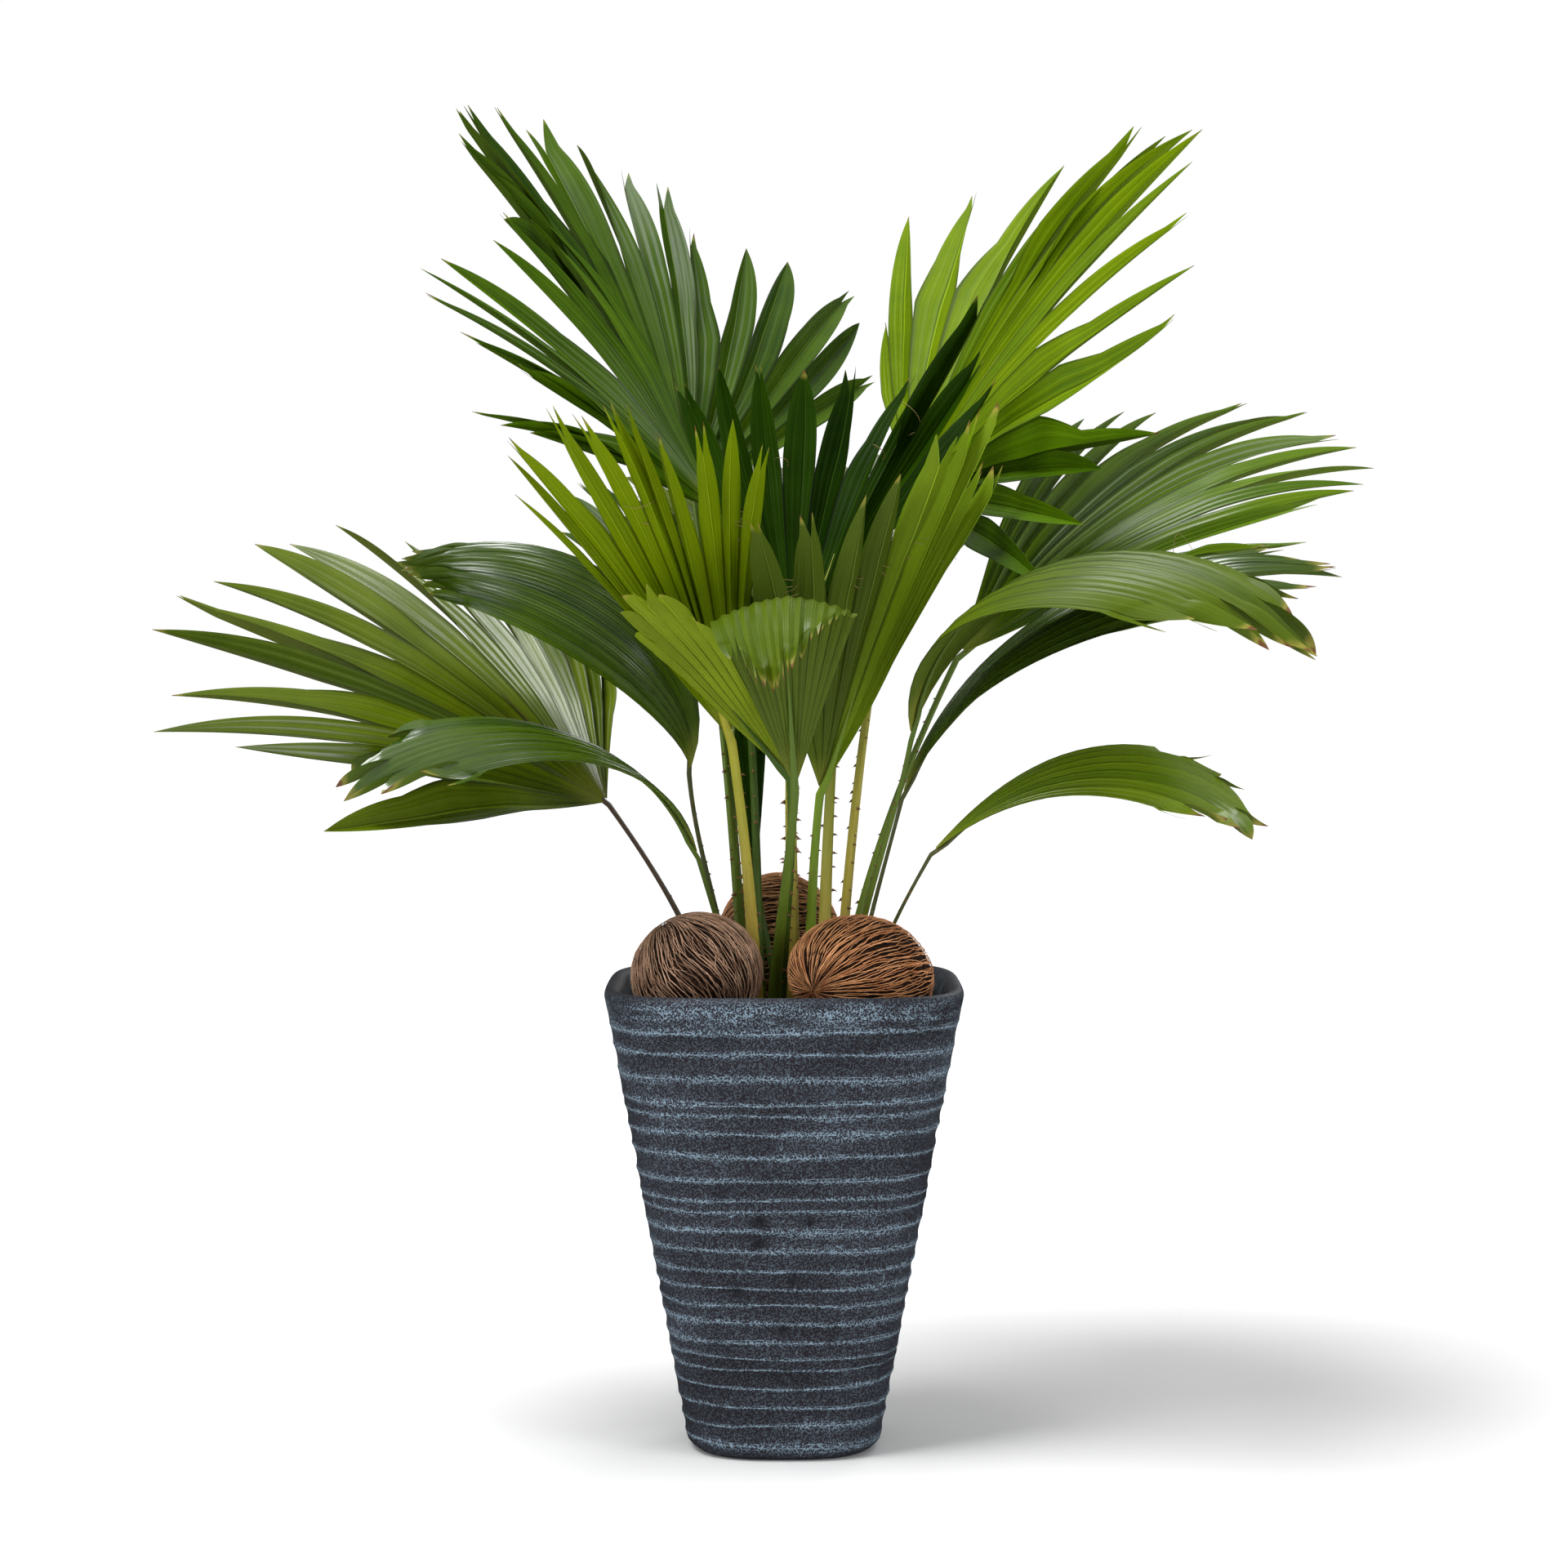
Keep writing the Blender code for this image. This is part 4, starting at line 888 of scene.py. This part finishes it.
for seed, leaf in enumerate(LEAVES):
    axes = leaf_axes(leaf)
    length = axes[3]
    grower = np.random.default_rng(100 + seed)
    turns, reaches = np.radians(leaf.turns), np.array(leaf.reaches) / 100
    usual = np.median(np.diff(turns)) / 2
    outer_turns = [1.5 * turns[0] - 0.5 * turns[1]], [1.5 * turns[-1] - 0.5 * turns[-2]]
    edge_turns = np.concatenate([outer_turns[0], (turns[1:] + turns[:-1]) / 2, outer_turns[1]])
    edge_reaches = np.concatenate([reaches[:1], (reaches[1:] + reaches[:-1]) / 2, reaches[-1:]])
    gaps = np.abs([turns - edge_turns[:-1], edge_turns[1:] - turns])
    steepness = np.sqrt(np.maximum(0, (PLEAT_WIDTH * usual / gaps) ** 2 - 1))
    heights = gaps * np.clip(steepness, PLEAT, STEEPEST_PLEAT)
    heights = heights * np.interp(leaf.bend, (60, FLAT_BEND), (1, FLATTEST))
    points, faces, leaf_map, bake_map, slots = [], [], [], [], []
    power = SLENDER_POWER if leaf.name in SLENDER_LEAVES else LOBE_POWER
    skins = leaf_skins[leaf.green, leaf.browned]
    shade_green, shade_start, shade_end = SHADE_AND_SHEEN_GREENS.get(leaf.name, (None, 0, 0))
    if shade_green:
        skins = skins + leaf_skins[shade_green, leaf.browned]

    def add_sheet(sheet, flip, slot, leaf_places, bake_places):
        """One grid of points added to the blade, with its two sets of coordinates."""
        quads, corners = grid(*sheet.shape[:2], start=sum(map(len, points)), flip=flip)
        points.append(sheet.reshape(-1, 3))
        faces.append(quads)
        leaf_map.append(leaf_places[corners[..., 0], corners[..., 1]])
        bake_map.append(bake_places[corners[..., 0], corners[..., 1]])
        slots.append(np.full(len(quads), slot + (2 if shade_start <= i < shade_end else 0)))

    for i in range(len(turns)):
        split = leaf.split + grower.uniform(-0.07, 0.05) * min(1.0, (1 - leaf.split) / 0.4)
        joined = np.linspace(0, 1, JOINED_ROWS + 1)[:-1] * split
        free = np.linspace(0, 1, FREE_ROWS + 1) ** 0.85
        share = np.concatenate([joined, split + (1 - split) * free])
        free = np.concatenate([0 * joined, free])
        free_length = length * (1 - split)
        notched = grower.uniform() < NOTCHED_SHARE
        notch = grower.uniform(0.90, 0.955) if notched else 2.0
        slender = np.minimum(1, split / np.maximum(share, 1e-6))
        slender = slender * (1 + LOBE_SPREAD * free) * (1 - free**power)
        past = np.clip((share - notch) / max(1e-6, 1 - notch), 0, 1) if notched else 0 * share
        stretch = free * length * grower.uniform(-0.01, 0.01)
        droop = grower.uniform(-0.02, 0.07) * free**2 * free_length
        sway = grower.normal(0, 0.03) * free**2 * free_length
        twist = grower.normal(0, 0.35) * free
        deeper = 1 + 0.35 * free
        layer = (LAYER if i % 2 else -LAYER) * np.minimum(1, free / LAYERED_BY)
        for half in (-1, 1):
            t = np.linspace(min(half, 0), max(half, 0), HALF_COLUMNS + 1)
            side_turn = edge_turns[i + (half > 0)] - turns[i]
            side_reach = edge_reaches[i + (half > 0)] - reaches[i]
            parted = np.clip(1.0, NARROWEST * usual / abs(side_turn), WIDEST * usual / abs(side_turn))
            parted = 1 + (parted - 1) * np.minimum(1, free / PARTED_BY)
            factor = np.where(free > 0, slender * parted, 1.0)
            at_notch = np.interp(notch, share, factor)
            factor = np.where(past > 0, at_notch * (1 - NOTCH_NARROWER * past), factor)
            inner = np.where(past > 0, at_notch * NOTCH_OPEN * past, 0.0)
            factor = np.maximum(factor, inner + LEAST_WIDTH)
            across = inner[:, None] + (factor - inner)[:, None] * np.abs(t)
            angle = turns[i] + across * side_turn
            shares = np.repeat(share[:, None], len(t), axis=1)
            reach = reaches[i] + across * side_reach
            point, runs, up, distance = blade_surface(leaf, axes, angle, reach, shares, stretch[:, None])
            lateral = np.cross(runs, up)
            at_rib, at_edge = heights[:, i].mean(), heights[int(half > 0), i]
            rise = deeper[:, None] * (across * (at_rib + at_edge) / 2 - slender[:, None] * at_rib / 2)
            rise = rise + np.tan(twist)[:, None] * half * across * abs(side_turn)
            rise = distance * rise + layer[:, None]
            point = point + up * rise[..., None] + lateral * sway[:, None, None]
            point = point - np.array((0, 0, 1.0)) * droop[:, None, None]
            thick = SHEET * (1 - 0.6 * share)[:, None, None]
            below = point - up * thick
            u = i + (t + 1) / 2
            places = np.stack([np.broadcast_to(u, angle.shape), shares], axis=-1)
            lane = (u - i - (0.5 if half > 0 else 0.0)) * 2
            bake_u = (2 * i + (half > 0) + 0.04 + 0.92 * lane) / (2 * len(turns))
            bake = np.stack([np.broadcast_to(bake_u, angle.shape), shares], axis=-1)
            add_sheet(point, False, 0, places, bake * (1, FACE_SHARE) + (0, UPPER_START))
            add_sheet(below, True, 1, places, bake * (1, FACE_SHARE) + (0, UNDER_START))
            wall_u = np.repeat(bake_u[[0]] + shares[:, :1] * (bake_u[-1] - bake_u[0]), 2, axis=1)
            wall_v = np.repeat([[WALL_START, WALL_END]], len(share), axis=0)
            edges = (0, -1) if half < 0 else (-1, 0)
            for edge, lift in zip(edges[: 1 + notched], (0, NOTCH_WALL_LIFT)):
                wall = np.stack([point[:, edge], below[:, edge]], axis=1)
                wall_places = np.repeat(places[:, [edge]], 2, axis=1)
                add_sheet(wall, edge == 0, 0, wall_places, np.stack([wall_u, wall_v + lift], axis=-1))
    points, faces, slots = np.concatenate(points), np.concatenate(faces), np.concatenate(slots)
    maps = {"Leaf": np.concatenate(leaf_map), "OFBake": np.concatenate(bake_map)}
    blade = make_piece(leaf.name + "_fan", points, faces, maps, skins, slots)
    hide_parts(leaf.name + "_blade")


# ---- The loose threads
# Dry tan threads that curl away from the clefts between leaflets, where the young fan tore apart as it
# opened. Each is about half a millimetre thick and hangs free at one end.
THREADED = (("front_right", 6), ("front_left", 2), ("middle", 3), ("right_wide", 2))
THREAD_STEPS, THREAD_SIDES, THREAD_RADIUS = 26, 5, 0.00028

thread_tan, shader, place = new_finish("thread_tan", 0.7, 0.3)
paint(shader, speckle(place, 120.0), (120, 96, 58), (176, 150, 102))
curls = []
grower = np.random.default_rng(9)
for name, number in THREADED:
    leaf = next(leaf for leaf in LEAVES if leaf.name == name)
    axes = leaf_axes(leaf)
    for cleft in grower.permutation(len(leaf.turns) - 1)[:number]:
        turned, reach = np.mean([leaf.turns[cleft : cleft + 2], leaf.reaches[cleft : cleft + 2]], axis=1)
        turned, share = np.array(math.radians(turned)), np.array(leaf.split + 0.02)
        point, runs, up, _ = blade_surface(leaf, axes, turned, reach / 100, share)
        side = np.cross(runs, up)
        step = np.linspace(0, 1, THREAD_STEPS)[:, None]
        size, loops = grower.uniform(0.015, 0.04), grower.uniform(0.6, 2.2)
        swing = 2 * np.pi * loops * step**1.4
        ways = runs * size * step * 0.8 + side * size * 0.28 * np.sin(swing)
        ways = ways + up * size * 0.28 * (1 - np.cos(swing))
        curls.append(point + ways - np.array((0, 0, 0.3)) * size * step**2)
radii = THREAD_RADIUS * (1 - 0.6 * np.linspace(0, 1, THREAD_STEPS))
points, faces, strips = tubes(np.array(curls), np.tile(radii, (len(curls), 1)), THREAD_SIDES)
threads = make_piece("leaf_threads", points, faces, {"OFBake": strips}, [thread_tan])
